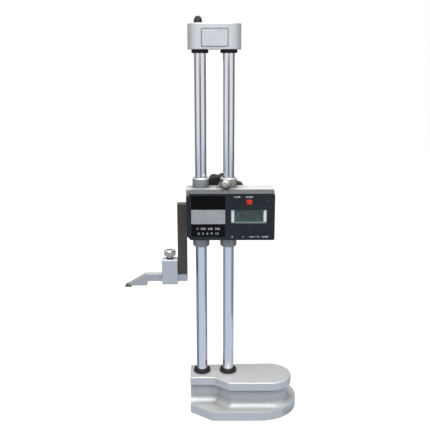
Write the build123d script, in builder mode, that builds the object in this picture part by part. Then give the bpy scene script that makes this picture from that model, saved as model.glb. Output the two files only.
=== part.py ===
"""Double-column digital height gauge with a rack feed wheel and a carbide scriber.

Millimetres, +Z up, +X along the pair of columns and +Y towards the feed wheel.
The origin is on the underside of the base, midway between the two columns.
"""

from build123d import *

import os
from math import atan2, cos, hypot, pi, radians, sin, tan

os.makedirs("parts", exist_ok=True)

# Clearances
seat_gap = 0.02  # pieces pressed or screwed into each other
running_gap = 0.05  # shafts and columns in their bushes
slide_gap = 0.15  # buttons, covers and other loose guides
tap_gap = 0.5  # left under a screw's end
pick_tolerance = 0.01  # for picking faces and edges by their height
cut_over = 1.0  # how far a cut runs out past the face it opens

# Columns
column_r = 7.0
column_pitch = 34.0
column_x = column_pitch / 2
column_seat = 14.0  # length of the full diameter inside the base
column_chamfer = 0.8
spigot_r = 5.0
column_grip = 22.0  # length of the column inside the top bracket

# Base
base_height = 49.0
base_left = -32.0
plate_thick = 10.4
plate_front = -35.4
plate_waist = -19.7
plate_back = 21.1
plate_back_left = 16.5
plate_right = 98.8
waist_start = -1.4
waist_end = 18.0
waist_start_r = 10.5
waist_end_r = 8.0
neck_front_inset = 8.0
neck_back_inset = 5.0
neck_end_inset = 5.0  # at the rounded right end
neck_end_r = 5.6  # the neck's outward corner below the end of the waist
neck_root_r = 9.0
flange_thick = 12.0
flange_half = 42.5  # the flange reaches this far in front of and behind the columns
flange_end_half = 21.2
flange_corner = -3.2
flange_corner_r = 5.6
flange_round_r = 50.0
flange_round_x = 57.0
flange_back_corner_r = 24.0
edge_r = 1.4
bolt_r = 3.0
bolt_head_r = 5.0
bolt_head_height = 6.0
bolt_socket_r = 2.5
bolt_socket_depth = 3.0
bolt_reach = 14.4  # length of the bolt inside the spigot
bolt_sink = 1.5  # the bolt heads lie this far above the underside
bolt_floor = 9.5  # metal between a bolt head and the spigot

# Rubber rings at the ends of the travel
lower_ring_r = 10.9
upper_ring_r = 10.1
ring_thick = 4.2
ring_edge_r = 1.7

# Top bracket
bracket_bottom = 459.3
bracket_height = 29.7
bracket_r = 14.5
plaque_width = 32.3
plaque_height = 21.6
plaque_x = 0.45
plaque_drop = 1.55  # middle of the plate below the middle of the bracket
plaque_sink = 0.3
plaque_thick = 0.6
plaque_corner_r = 2.0
dome_offset = 2.1  # the cap nut stands this far outside the left column's axis
dome_r = 5.4
dome_height = 8.4
dome_shoulder_r = 4.4
dome_shoulder_height = 4.9
dome_foot_lean = -0.3  # sideways per unit of rise
stud_r = 2.0
grub_sink = 1.0
grub_socket_r = 1.2
grub_socket_depth = 2.0

# Rack and pinions
module = 0.7
pinion_teeth = 12
pressure_angle = radians(20)
addendum = 0.8 * module
dedendum = 1.0 * module
backlash = 0.08
rack_depth = 5.3  # pitch line of the rack behind the column's axis
rack_width = 5.0
rack_back = 2.3  # rack stock behind the pitch line
rack_foot_gap = 23.0  # plain column between the base and the rack
rack_top_gap = 13.3  # plain column between the rack and the bracket
tooth_side_gap = 0.2  # the pinion teeth are narrower than the rack by this on each side
shaft_r = 2.5
encoder_drop_teeth = 7  # the encoder pinion is this many teeth below the feed pinion
flank_steps = 3
tooth_core = 0.9  # share of the root radius at which a tooth's outline starts

# Front of the display housing, laid out from the label rightwards and from the block's underside up
label_left = -27.7
label_width = 40.0
label_low = 4.6
label_top_gap = 3.0  # bare housing over the label
label_sink = 0.6
label_thick = 0.8
strip_low = 20.1
strip_height = 17.0
strip_thick = 0.4
button_z = 12.9
button_steps = (1.2, 14.2, 27.7, 40.1)  # from the window's left edge
button_r = 3.0
button_proud = 0.9
button_travel = 0.5
button_flange = 0.8
button_flange_rim = 0.7
button_edge_r = 0.5
button_stem = 1.2
stem_r = 1.5
switch_gap = 0.2  # left between stem and switch at the end of the travel
switch_size = 4.2
switch_share = 0.6  # share of a switch's height taken by its square case
window_gap = 7.1  # bare housing between the label and the window
window_rise = 7.7  # window's lower edge over the function buttons' centres
window_width = 41.9
window_height = 16.2
window_thick = 1.2
window_sink = 0.1
lcd_side = 3.5  # white frame beside the liquid crystal cell
lcd_rise = 1.2
lcd_over = 0.4
frame_margin = 1.0
frame_top_margin = 1.6
frame_gap = 0.2
glass_thick = 1.1
glass_sink = 0.5
strip_side = 2.0  # square section of the contact strips
strip_inset = 1.5
power_step = 21.3  # from the window's left edge
power_rise = 9.6  # over the window's upper edge
power_width = 6.9
power_height = 5.8
power_corner_r = 0.8
data_step = 6.2
data_rise = 10.6
top_margin = 10.5  # housing over the centre of the power button
left_margin = 6.0
right_margin = 9.7

# Slider casting
reading = 166.97  # height of the scriber's edge over the base, as stored
edge_to_block = 71.63  # from the scriber's edge up to the underside of the slider block
block_overhang_left = 1.1  # casting past the housing
block_overhang_right = 1.3
block_front = -18.0
block_back = 11.0
block_corner_r = 3.0
boss_r = 10.25
boss_above = 12.0
boss_below = 18.3
boss_chamfer = 1.4
bush_r = 8.4
bush_length = 14.0
bush_inset = 0.6
rib_half = 3.0
rib_length = 9.0
rib_head_gap = 2.5  # the rib starts this far below the boss's end
rib_root = 0.6  # how far the rib reaches into the boss and the block
rib_hollow_x = 2.2
rib_hollow_z = 3.4
pocket_from_column = 11.5
pocket_width = 32.5
pocket_depth = 23.0
pocket_wall = 6.0
pocket_corner_r = 4.0
feed_rise = 33.4  # feed shaft over the underside of the block
pinion_room = 0.24  # between a pinion's tips and its bore
bearing_flange_r = 8.0
bearing_flange = 1.5
thrust_bush_r = 4.0
thrust_bush_length = 6.0
bearing_start = 6.0  # the bearings keep this far from the columns' plane
blind_floor = 1.5  # metal behind the encoder shaft

# Feed wheel
wheel_r = 35.5
wheel_front_r = 33.5
wheel_gap = 7.0  # between the block and the wheel
wheel_width = 16.0
wheel_flutes = 16
wheel_turn = 5.4  # degrees by which the uppermost lobe leans to the left
flute_depth = 2.2
flute_r = 5.6
flute_edge_r = 1.2
wheel_edge = 0.8  # bevel round the front face
wheel_shoulder = 5.0  # depth over which the front swells to the full radius
wheel_back_bevel = 3.0
wheel_dish_r = 25.0
wheel_dish = 5.0
wheel_hub_r = 9.0
wheel_screw_head = 3.0
wheel_screw_edge_r = 0.8
wheel_screw_reach = 8.0
wheel_screw_socket_r = 1.6
wheel_screw_socket = 1.6

# Slider clamp screw
clamp_angle = radians(12)
clamp_rise = 6.5  # over the top of the block
clamp_thread_r = 2.5
clamp_head_r = 5.1
clamp_head_start = 14.6
clamp_head_length = 8.4
clamp_head_teeth = 26
clamp_lug_r = 5.0
clamp_lug_reach = 13.0
pad_r = 2.2
pad_length = 2.2

# Knurled heads
knurl_depth = 0.35
knurl_neck = 1.4  # the foot of a head is this much smaller in radius
knurl_foot = 1.2  # height of the cone at the foot
knurl_crown = 2.0  # height of the rounding at the far end
crown_face = 0.62  # shares of the radius at the crown's flat face and on its shoulder
crown_shoulder = 0.88
crown_drop = 0.75
crown_dish = 0.1

# Display housing
housing_depth = 24.0
housing_wall = 2.0
housing_chamfer = 5.2
housing_inner_chamfer = 4.0
housing_corner_r = 3.0
housing_foot_corner_r = 1.5
housing_edge_r = 0.7
board_front = 6.0  # depth of the board's front face behind the housing's front
board_thick = 1.6
board_from_label = 0.2
board_side_gap = 3.1
board_edge_gap = 3.5
post_inset = 2.4  # of the board's posts from its edges
post_r = 1.9
post_floor = 0.6
cover_post_gap = 1.6
board_screw_r = 1.0
board_screw_head_r = 1.8
board_screw_head = 1.2
board_screw_reach = 2.6
cover_width = 21.6
cover_height = 13.8
cover_top_gap = 2.5
cover_thick = 1.3
groove_pitch = 2.2
groove_width = 0.8
groove_length = 6.0
groove_depth = 0.4
groove_from_cell = -3.0
cell_r = 5.8
cell_thick = 5.4
cell_edge_r = 0.4
cell_from_cover = 8.6
tray_wall = 1.2
tray_room = 0.3
housing_screw_r = 1.25
housing_screw_head_r = 2.25
housing_screw_head = 2.25
housing_screw_sink = 1.0
housing_screw_socket_r = 1.05
housing_screw_socket = 1.2
housing_screw_left = 3.8
housing_screw_right = 4.2
housing_screw_foot = 8.0
housing_screw_top = 8.5
housing_post_r = 2.7
housing_post_length = 13.0
housing_post_floor = 1.0

# Encoder
disc_r = 12.0
disc_thick = 0.8
disc_from_block = 5.0
disc_slots = 24
disc_slot_inset = 2.2
disc_slot_length = 2.0
disc_slot_width = 1.0
disc_collar = 2.0
disc_collar_rim = 1.5
reader_width = 8.0
reader_height = 10.0
reader_over = 3.5  # the reader reaches this far in front of the disc
reader_slot_gap = 1.0
reader_back = 1.5  # solid part of the reader outside the disc's edge

# Jaw, scriber and scriber clamp
jaw_width = 11.7
jaw_half = 5.0
jaw_top = 36.5  # over the underside of the block
jaw_chamfer = 0.6
jaw_screw_margin = 6.3
jaw_screw_pitch = 12.0
jaw_screw_r = 2.0
jaw_screw_head_r = 3.5
jaw_screw_head = 4.0
jaw_screw_sink = 0.4
jaw_screw_socket_r = 1.7
jaw_screw_socket = 2.0
jaw_screw_reach = 7.0  # depth of the tapped holes in the block
bar_size = 9.0  # square section of the scriber
bar_rise = 7.73  # underside of the shank over the scriber's edge
bar_gap = 0.1  # between the shank and the jaw's foot
bar_length = 52.8  # of the straight top
bar_end_chamfer = 0.5
slope_length = 26.6
blade_rise = 1.83
blade_overlap = 1.6  # the blade runs on this far past the start of the slope
blade_root_r = 1.2
blade_heel_r = 0.8
carbide_length = 8.2
carbide_height = 3.7
carbide_corner = 0.5
tip_land = 1.2
foot_height = 9.0
foot_short = 2.5  # the foot ends this far inside the clamp box
box_gap = 0.3
box_width = 19.7
box_half = 7.75
box_bottom = 4.2  # over the scriber's edge
box_top = 36.3
box_guide = 0.2
box_chamfer = 0.8
knob_r = 7.1
knob_height = 8.0
knob_teeth = 34
knob_lift = 3.7
knob_thread_r = 2.5

# Derived places
label_right = label_left + label_width
window_left = label_right + window_gap
window_right = window_left + window_width
housing_left = label_left - left_margin
housing_right = window_right + right_margin
block_left = housing_left - block_overhang_left
block_right = housing_right + block_overhang_right
window_low = button_z + window_rise
window_high = window_low + window_height
power_x = window_left + power_step
power_z = window_high + power_rise
data_x = window_left + data_step
data_z = window_high + data_rise
block_height = power_z + top_margin
label_high = block_height - label_top_gap
board_left = label_right + board_from_label
board_right = housing_right - board_side_gap
board_high = block_height - board_edge_gap
lcd_left = window_left + lcd_side
lcd_right = window_right - lcd_side
cover_left = housing_right - cover_width
cover_high = block_height - cover_top_gap
cover_low = cover_high - cover_height
cell_x = cover_left + cell_from_cover
housing_screw_xs = (housing_left + housing_screw_left, housing_right - housing_screw_right)
housing_screw_lows = (housing_screw_foot, block_height - housing_screw_top)
jaw_screw_lows = (jaw_top - jaw_screw_margin - jaw_screw_pitch, jaw_top - jaw_screw_margin)
block_bottom = reading + edge_to_block
block_top = block_bottom + block_height
bracket_top = bracket_bottom + bracket_height
column_top = bracket_bottom + column_grip
column_foot = base_height - column_seat
dome_x = -column_x - dome_offset
spigot_foot = bolt_sink + bolt_head_height + bolt_floor
spigot_length = column_foot - spigot_foot
plaque_z = bracket_bottom + bracket_height / 2 - plaque_drop
pinion_r = module * pinion_teeth / 2
tooth_pitch = pi * module
tooth_width = rack_width - 2 * tooth_side_gap
bearing_r = pinion_r + addendum + pinion_room
rack_bottom = base_height + rack_foot_gap
rack_top = bracket_bottom - rack_top_gap
rack_x = column_x - rack_depth
feed_x = rack_x - pinion_r
feed_z = block_bottom + feed_rise
encoder_z = feed_z - encoder_drop_teeth * tooth_pitch
wheel_front = block_back + wheel_gap
wheel_back = wheel_front + wheel_width
front_y = block_front - housing_depth
inner_y = front_y + housing_wall
board_y = front_y + board_front
disc_y = block_front - disc_from_block
jaw_left = block_left - jaw_width
bar_bottom = reading + bar_rise
bar_top = bar_bottom + bar_size
bar_left = block_left - bar_length
bar_tip = bar_left - slope_length
blade_right = bar_left + blade_overlap
carbide_right = bar_tip + carbide_length
foot_bottom = bar_top + bar_gap
foot_top = foot_bottom + foot_height
box_right = jaw_left - box_gap
box_left = box_right - box_width
box_ceiling = foot_top + box_guide
foot_left = box_left + foot_short
knob_x = (box_left + box_right) / 2


def save(builder, label):
    """Labels a finished piece and writes it as its own file."""
    builder.part.label = label
    export_step(builder.part, f"parts/{label}.step")


def corner(sketch, x, y):
    """The vertex of a sketch nearest to a point of its plane."""
    return sketch.vertices().sort_by_distance((x, y, 0))[0]


def front_plane(y):
    """A plane that faces the front at depth y, with X and Z as its own axes."""
    return Plane.XZ.offset(-y)


def back_plane(y):
    """A plane that faces the back at depth y, with X mirrored and Z up."""
    return Plane(origin=(0, y, 0), x_dir=(-1, 0, 0), z_dir=(0, 1, 0))


# ---------------------------------------------------------------- base


def grip_outline(front_inset, back_inset, end_inset, end_corner_r, height):
    """Plan of the grip at a height: the top plate's outline, set in all round but the left end."""
    lean = atan2(plate_waist - plate_front, waist_end - waist_start)
    shift = front_inset * tan(lean / 2)
    front = plate_front + front_inset
    back = plate_back - back_inset
    end_r = (back - front) / 2
    end_x = plate_right - end_inset - end_r
    with BuildSketch(Plane.XY.offset(height)) as outline:
        with BuildLine():
            Polyline(
                (base_left, plate_back_left - back_inset),
                (base_left, plate_waist + front_inset),
                (waist_start + shift, plate_waist + front_inset),
                (waist_end + shift, front),
                (end_x, front),
                (end_x, back),
                close=True,
            )
        make_face()
        with Locations((end_x, (front + back) / 2)):
            Circle(end_r)
        fillet(corner(outline, waist_start + shift, plate_waist + front_inset), waist_start_r)
        fillet(corner(outline, waist_end + shift, front), end_corner_r)
    return outline.sketch


with BuildSketch() as flange_outline:
    with BuildLine():
        Polyline(
            (base_left, flange_end_half),
            (base_left, -flange_end_half),
            (flange_corner, -flange_half),
            (flange_round_x, -flange_half),
            (flange_round_x, flange_half),
            (flange_corner, flange_half),
            close=True,
        )
    make_face()
    with Locations((flange_round_x, flange_round_r - flange_half)):
        Circle(flange_round_r)
    with Locations((flange_round_x, 0)):
        Rectangle(4 * flange_round_r, 2 * flange_half, mode=Mode.INTERSECT)
    flange_back_x = flange_round_x + (flange_round_r**2 - (2 * flange_half - flange_round_r) ** 2) ** 0.5
    fillet(corner(flange_outline, flange_back_x, flange_half), flange_back_corner_r)
    fillet(corner(flange_outline, flange_corner, -flange_half), flange_corner_r)
    fillet(corner(flange_outline, flange_corner, flange_half), flange_corner_r)

with BuildPart() as base:
    extrude(to_extrude=flange_outline.sketch, amount=flange_thick)
    neck_top = base_height - plate_thick
    neck_outline = grip_outline(neck_front_inset, neck_back_inset, neck_end_inset, neck_end_r, flange_thick)
    extrude(to_extrude=neck_outline, amount=neck_top - flange_thick)
    neck_walls = base.faces().filter_by(lambda f: f.bounding_box().min.Z > flange_thick - pick_tolerance)
    neck_walls = neck_walls.filter_by(lambda f: f.bounding_box().size.Z > edge_r)
    neck_foot = neck_walls.edges().filter_by(lambda e: e.bounding_box().max.Z < flange_thick + pick_tolerance)
    fillet(neck_foot, neck_root_r)
    extrude(to_extrude=grip_outline(0, 0, 0, waist_end_r, neck_top), amount=plate_thick)
    rims = base.faces().sort_by(Axis.Z)[-1].edges()
    fillet(rims, edge_r)
    with Locations((-column_x, 0, base_height), (column_x, 0, base_height)):
        Hole(radius=column_r + seat_gap, depth=column_seat)
        Hole(radius=spigot_r + seat_gap, depth=column_seat + spigot_length)
        Hole(radius=bolt_r + slide_gap)
    with Locations((-column_x, 0, 0), (column_x, 0, 0)):
        Cylinder(
            bolt_head_r + slide_gap,
            spigot_foot - bolt_floor,
            align=(Align.CENTER, Align.CENTER, Align.MIN),
            mode=Mode.SUBTRACT,
        )
save(base, "base_casting")

# ---------------------------------------------------------------- columns and rack


def column(x):
    """A ground column with its spigot, tapped at the foot."""
    with BuildPart() as bar:
        with BuildSketch(Plane.XY.offset(spigot_foot)):
            with Locations((x, 0)):
                Circle(spigot_r)
        extrude(amount=spigot_length)
        with BuildSketch(Plane.XY.offset(column_foot)):
            with Locations((x, 0)):
                Circle(column_r)
        extrude(amount=column_top - column_foot)
        chamfer(bar.faces().sort_by(Axis.Z)[-1].edges(), column_chamfer)
        with Locations((x, 0, spigot_foot)):
            Cylinder(
                bolt_r + seat_gap,
                spigot_length,
                align=(Align.CENTER, Align.CENTER, Align.MIN),
                mode=Mode.SUBTRACT,
            )
    return bar


left_column = column(-column_x)
save(left_column, "left_column")

rack_tip_x = rack_x - addendum
rack_root_x = rack_x + dedendum
rack_back_x = rack_x + rack_back

with BuildPart() as right_column:
    add(column(column_x).part)
    with BuildSketch(front_plane(-rack_width / 2 - seat_gap)):
        with Locations((column_x - column_r, (rack_bottom + rack_top) / 2)):
            slot_depth = rack_back_x + seat_gap - column_x + column_r
            Rectangle(2 * slot_depth, rack_top - rack_bottom + 2 * seat_gap)
    extrude(amount=-rack_width - 2 * seat_gap, mode=Mode.SUBTRACT)
save(right_column, "right_column")


def rack_profile():
    """Points of the rack's side view: trapezoid teeth with a gap centred at the feed pinion."""
    half_root = tooth_pitch / 4 + dedendum * tan(pressure_angle) - backlash / 2
    half_tip = tooth_pitch / 4 - addendum * tan(pressure_angle) - backlash / 2
    first = int((rack_bottom + tooth_pitch - feed_z) / tooth_pitch)
    last = int((rack_top - tooth_pitch - feed_z) / tooth_pitch)
    points = [(rack_back_x, rack_bottom), (rack_root_x, rack_bottom)]
    for number in range(first, last):
        middle = feed_z + (number + 0.5) * tooth_pitch
        points += [(rack_root_x, middle - half_root), (rack_tip_x, middle - half_tip)]
        points += [(rack_tip_x, middle + half_tip), (rack_root_x, middle + half_root)]
    points += [(rack_root_x, rack_top), (rack_back_x, rack_top)]
    return points


with BuildPart() as rack:
    with BuildSketch(front_plane(rack_width / 2)):
        with BuildLine():
            Polyline(*rack_profile(), close=True)
        make_face()
    extrude(amount=rack_width)
save(rack, "rack_strip")

with BuildPart() as column_bolts:
    for x in (-column_x, column_x):
        with Locations((x, 0, bolt_sink)):
            Cylinder(bolt_head_r, bolt_head_height, align=(Align.CENTER, Align.CENTER, Align.MIN))
            Cylinder(
                bolt_r,
                spigot_foot + bolt_reach - bolt_sink,
                align=(Align.CENTER, Align.CENTER, Align.MIN),
            )
        with BuildSketch(Plane.XY.offset(bolt_sink)):
            with Locations((x, 0)):
                RegularPolygon(bolt_socket_r, 6)
        extrude(amount=bolt_socket_depth, mode=Mode.SUBTRACT)
save(column_bolts, "column_bolts")

for side, x in (("left", -column_x), ("right", column_x)):
    for end, ring_r, bottom in (
        ("lower", lower_ring_r, base_height),
        ("upper", upper_ring_r, bracket_bottom - ring_thick),
    ):
        with BuildPart() as ring:
            with BuildSketch(Plane.XY.offset(bottom)):
                with Locations((x, 0)):
                    Circle(ring_r)
                    Circle(column_r + seat_gap, mode=Mode.SUBTRACT)
            extrude(amount=ring_thick)
            rims = ring.edges().filter_by(GeomType.CIRCLE)
            fillet(rims.filter_by(lambda e: e.radius > (ring_r + column_r) / 2), ring_edge_r)
        save(ring, f"{end}_ring_{side}")

# ---------------------------------------------------------------- top bracket

with BuildPart() as bracket:
    with BuildSketch(Plane.XY.offset(bracket_bottom)):
        SlotCenterToCenter(column_pitch, 2 * bracket_r)
    extrude(amount=bracket_height)
    fillet(bracket.edges().group_by(Axis.Z)[-1], edge_r)
    fillet(bracket.edges().group_by(Axis.Z)[0], edge_r / 2)
    with Locations((-column_x, 0, bracket_bottom), (column_x, 0, bracket_bottom)):
        Cylinder(
            column_r + seat_gap,
            column_grip,
            align=(Align.CENTER, Align.CENTER, Align.MIN),
            mode=Mode.SUBTRACT,
        )
    with BuildSketch(front_plane(-bracket_r)):
        with Locations((plaque_x, plaque_z)):
            RectangleRounded(plaque_width + slide_gap, plaque_height + slide_gap, plaque_corner_r)
    extrude(amount=-plaque_sink, mode=Mode.SUBTRACT)
    with Locations((dome_x, 0, bracket_top)):
        Hole(radius=stud_r + seat_gap, depth=bracket_height - column_grip)
    for x in (-column_x, column_x):
        with BuildSketch(back_plane(bracket_r)):
            with Locations((-x, bracket_bottom + column_grip / 2)):
                Circle(stud_r + seat_gap)
        extrude(amount=-(bracket_r - column_r), mode=Mode.SUBTRACT)
save(bracket, "top_bracket")

with BuildPart() as plaque:
    with BuildSketch(front_plane(-bracket_r + plaque_sink)):
        with Locations((plaque_x, plaque_z)):
            RectangleRounded(plaque_width, plaque_height, plaque_corner_r)
    extrude(amount=plaque_thick)
save(plaque, "bracket_plate")

with BuildPart() as bracket_screws:
    for x in (-column_x, column_x):
        with BuildSketch(back_plane(column_r + seat_gap)):
            with Locations((-x, bracket_bottom + column_grip / 2)):
                Circle(stud_r)
        extrude(amount=bracket_r - column_r - grub_sink)
        with BuildSketch(back_plane(bracket_r - grub_sink + seat_gap)):
            with Locations((-x, bracket_bottom + column_grip / 2)):
                RegularPolygon(grub_socket_r, 6)
        extrude(amount=-grub_socket_depth, mode=Mode.SUBTRACT)
save(bracket_screws, "bracket_screws")

with BuildPart() as cap_stud:
    with BuildSketch(Plane.XY.offset(column_top + seat_gap)):
        with Locations((dome_x, 0)):
            Circle(stud_r)
    extrude(amount=bracket_top + dome_height / 2 - column_top)
save(cap_stud, "cap_stud")

with BuildPart() as cap_nut:
    with BuildSketch(Plane.XZ) as dome_half:
        with BuildLine():
            Polyline(
                (dome_x, bracket_top + dome_height), (dome_x, bracket_top), (dome_x + dome_r, bracket_top)
            )
            Spline(
                (dome_x + dome_r, bracket_top),
                (dome_x + dome_shoulder_r, bracket_top + dome_shoulder_height),
                (dome_x, bracket_top + dome_height),
                tangents=((dome_foot_lean, 1), (-1, 0)),
            )
        make_face()
    revolve(axis=Axis((dome_x, 0, 0), (0, 0, 1)))
    with Locations((dome_x, 0, bracket_top)):
        Cylinder(
            stud_r + seat_gap,
            dome_height / 2 + tap_gap,
            align=(Align.CENTER, Align.CENTER, Align.MIN),
            mode=Mode.SUBTRACT,
        )
save(cap_nut, "cap_nut")

# ---------------------------------------------------------------- slider casting

clamp_z = block_top + clamp_rise
clamp_axis = Vector(-sin(clamp_angle), -cos(clamp_angle), 0)


def clamp_plane(reach):
    """A plane square to the clamp screw's axis, at a distance from the right column's axis."""
    start = Vector(column_x, 0, clamp_z) + clamp_axis * reach
    return Plane(origin=start, x_dir=(cos(clamp_angle), -sin(clamp_angle), 0), z_dir=clamp_axis)


with BuildPart() as casting:
    with BuildSketch(Plane.XY.offset(block_bottom)):
        with Locations(((block_left + block_right) / 2, (block_front + block_back) / 2)):
            Rectangle(block_right - block_left, block_back - block_front)
    extrude(amount=block_height)
    fillet(casting.edges().filter_by(Axis.Z).group_by(Axis.Y)[-1], block_corner_r)
    fillet(casting.faces().sort_by(Axis.Z)[-1].edges().group_by(Axis.Y)[-1], edge_r)
    with BuildSketch(front_plane(-rib_half)):
        with BuildLine():
            boss_side = column_x - boss_r
            rib_top = (boss_side + rib_root, block_top + boss_above - rib_head_gap)
            rib_toe = (boss_side - rib_length, block_top - rib_root)
            ThreePointArc(rib_top, (boss_side - rib_hollow_x, block_top + rib_hollow_z), rib_toe)
            Polyline(rib_toe, (boss_side + rib_root, block_top - rib_root), rib_top)
        make_face()
    extrude(amount=2 * rib_half)
    for x in (-column_x, column_x):
        with BuildSketch(Plane.XY.offset(block_bottom - boss_below)):
            with Locations((x, 0)):
                Circle(boss_r)
        extrude(amount=boss_below + block_height + boss_above)
    for group in (0, -1):
        chamfer(casting.edges().group_by(Axis.Z)[group], boss_chamfer)
    with BuildSketch(clamp_plane(column_r)):
        Circle(clamp_lug_r)
    extrude(amount=clamp_lug_reach - column_r)
    for x in (-column_x, column_x):
        with Locations((x, 0, block_top + boss_above)):
            Hole(radius=bush_r)
    with BuildSketch(front_plane(block_front)):
        with Locations((column_x + pocket_from_column + pocket_width / 2, block_bottom + block_height / 2)):
            RectangleRounded(pocket_width, block_height - 2 * pocket_wall, pocket_corner_r)
    extrude(amount=-pocket_depth, mode=Mode.SUBTRACT)
    with BuildSketch(clamp_plane(0)):
        Circle(clamp_thread_r + running_gap)
    extrude(amount=clamp_lug_reach + cut_over, mode=Mode.SUBTRACT)
    with BuildSketch(back_plane(block_back)):
        with Locations((-feed_x, feed_z)):
            Circle(bearing_r)
    extrude(amount=-(block_back + bearing_start), mode=Mode.SUBTRACT)
    with BuildSketch(back_plane(-bearing_start)):
        with Locations((-feed_x, feed_z)):
            Circle(thrust_bush_r)
    extrude(amount=-thrust_bush_length, mode=Mode.SUBTRACT)
    with BuildSketch(front_plane(block_front)):
        with Locations((feed_x, encoder_z)):
            Circle(bearing_r)
    extrude(amount=block_front - bearing_start, mode=Mode.SUBTRACT)
    with BuildSketch(front_plane(bearing_start)):
        with Locations((feed_x, encoder_z)):
            Circle(thrust_bush_r)
    extrude(amount=-(block_back - bearing_start - blind_floor), mode=Mode.SUBTRACT)
    for x in housing_screw_xs:
        for low in housing_screw_lows:
            with BuildSketch(back_plane(block_back)):
                with Locations((-x, block_bottom + low)):
                    Circle(housing_screw_r + slide_gap)
            extrude(amount=block_front - block_back, mode=Mode.SUBTRACT)
            with BuildSketch(back_plane(block_back)):
                with Locations((-x, block_bottom + low)):
                    Circle(housing_screw_head_r + slide_gap)
            extrude(amount=-housing_screw_head - housing_screw_sink, mode=Mode.SUBTRACT)
    for low in jaw_screw_lows:
        with BuildSketch(Plane(origin=(block_left, 0, block_bottom + low), z_dir=(-1, 0, 0))):
            Circle(jaw_screw_r + seat_gap)
        extrude(amount=-jaw_screw_reach, mode=Mode.SUBTRACT)
save(casting, "slider_casting")

bush_floors = {
    "lower": block_bottom - boss_below + bush_inset,
    "upper": block_top + boss_above - bush_length - bush_inset,
}
for side, x in (("left", -column_x), ("right", column_x)):
    for end, floor in bush_floors.items():
        with BuildPart() as bush:
            with BuildSketch(Plane.XY.offset(floor)):
                with Locations((x, 0)):
                    Circle(bush_r - seat_gap)
                    Circle(column_r + running_gap, mode=Mode.SUBTRACT)
            extrude(amount=bush_length)
            if (side, end) == ("right", "upper"):
                with BuildSketch(clamp_plane(column_r / 2)):
                    Circle(clamp_thread_r + running_gap)
                extrude(amount=2 * column_r, mode=Mode.SUBTRACT)
        save(bush, f"{end}_bush_{side}")

with BuildPart() as clamp_pad:
    with BuildSketch(clamp_plane(column_r + 2 * running_gap)):
        Circle(pad_r)
    extrude(amount=pad_length)
save(clamp_pad, "clamp_pad")

# ---------------------------------------------------------------- shafts in the slider


def bearing(plane, x, z, radius, length, flange_length):
    """A plain bush round a shaft, with a flange at its outer end."""
    with BuildPart() as ring:
        with BuildSketch(plane):
            with Locations((x, z)):
                Circle(radius - seat_gap)
        extrude(amount=-length)
        if flange_length > 0:
            with BuildSketch(plane):
                with Locations((x, z)):
                    Circle(bearing_flange_r)
            extrude(amount=flange_length)
        with BuildSketch(plane):
            with Locations((x, z)):
                Circle(shaft_r + running_gap)
        extrude(amount=length + flange_length, both=True, mode=Mode.SUBTRACT)
    return ring


bearing_length = block_back - bearing_start
encoder_bearing = -block_front - bearing_start
blind_length = bearing_length - blind_floor

feed_bush_rear = bearing(back_plane(block_back), -feed_x, feed_z, bearing_r, bearing_length, bearing_flange)
save(feed_bush_rear, "feed_bush_rear")
feed_bush_front = bearing(back_plane(-bearing_start), -feed_x, feed_z, thrust_bush_r, thrust_bush_length, 0)
save(feed_bush_front, "feed_bush_front")
encoder_bush_front = bearing(front_plane(block_front), feed_x, encoder_z, bearing_r, encoder_bearing, 0)
save(encoder_bush_front, "encoder_bush_front")
encoder_bush_rear = bearing(front_plane(bearing_start), feed_x, encoder_z, thrust_bush_r, blind_length, 0)
save(encoder_bush_rear, "encoder_bush_rear")


def pinion_outline(z):
    """An involute pinion in the front view, one tooth pointing at the rack."""
    base_r = pinion_r * cos(pressure_angle)
    tip_r = pinion_r + addendum
    root_r = pinion_r - dedendum
    half_tooth = pi / 2 / pinion_teeth + tan(pressure_angle) - pressure_angle - backlash / 2 / pinion_r
    tip_roll = ((tip_r / base_r) ** 2 - 1) ** 0.5
    with BuildSketch(front_plane(tooth_width / 2)) as gear:
        with Locations((feed_x, z)):
            Circle(root_r)
        for tooth in range(pinion_teeth):
            middle = 2 * pi * tooth / pinion_teeth
            flank = [(root_r * tooth_core, half_tooth)]
            for step in range(flank_steps + 1):
                roll = tip_roll * step / flank_steps
                flank.append((base_r * hypot(1, roll), half_tooth - (roll - atan2(roll, 1))))
            sides = [(r, middle + a) for r, a in flank] + [(r, middle - a) for r, a in reversed(flank)]
            with BuildLine():
                Polyline(*[(feed_x + r * cos(a), z + r * sin(a)) for r, a in sides], close=True)
            make_face()
    return gear.sketch


def shaft(z, front, back):
    """A shaft along Y with its pinion at the columns' plane."""
    with BuildPart() as spindle:
        with BuildSketch(front_plane(back)):
            with Locations((feed_x, z)):
                Circle(shaft_r)
        extrude(amount=back - front)
        extrude(to_extrude=pinion_outline(z), amount=tooth_width)
    return spindle


hub_front = block_back + bearing_flange + slide_gap
first_flute = 90 + wheel_turn - 180 / wheel_flutes
wheel_web = wheel_back - wheel_dish

with BuildPart() as feed_shaft:
    add(shaft(feed_z, -bearing_start - thrust_bush_length + seat_gap, wheel_web).part)
    with BuildSketch(back_plane(wheel_web)):
        with Locations((-feed_x, feed_z)):
            Circle(housing_screw_r + seat_gap)
    extrude(amount=-wheel_screw_reach - tap_gap, mode=Mode.SUBTRACT)
save(feed_shaft, "feed_shaft")

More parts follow.
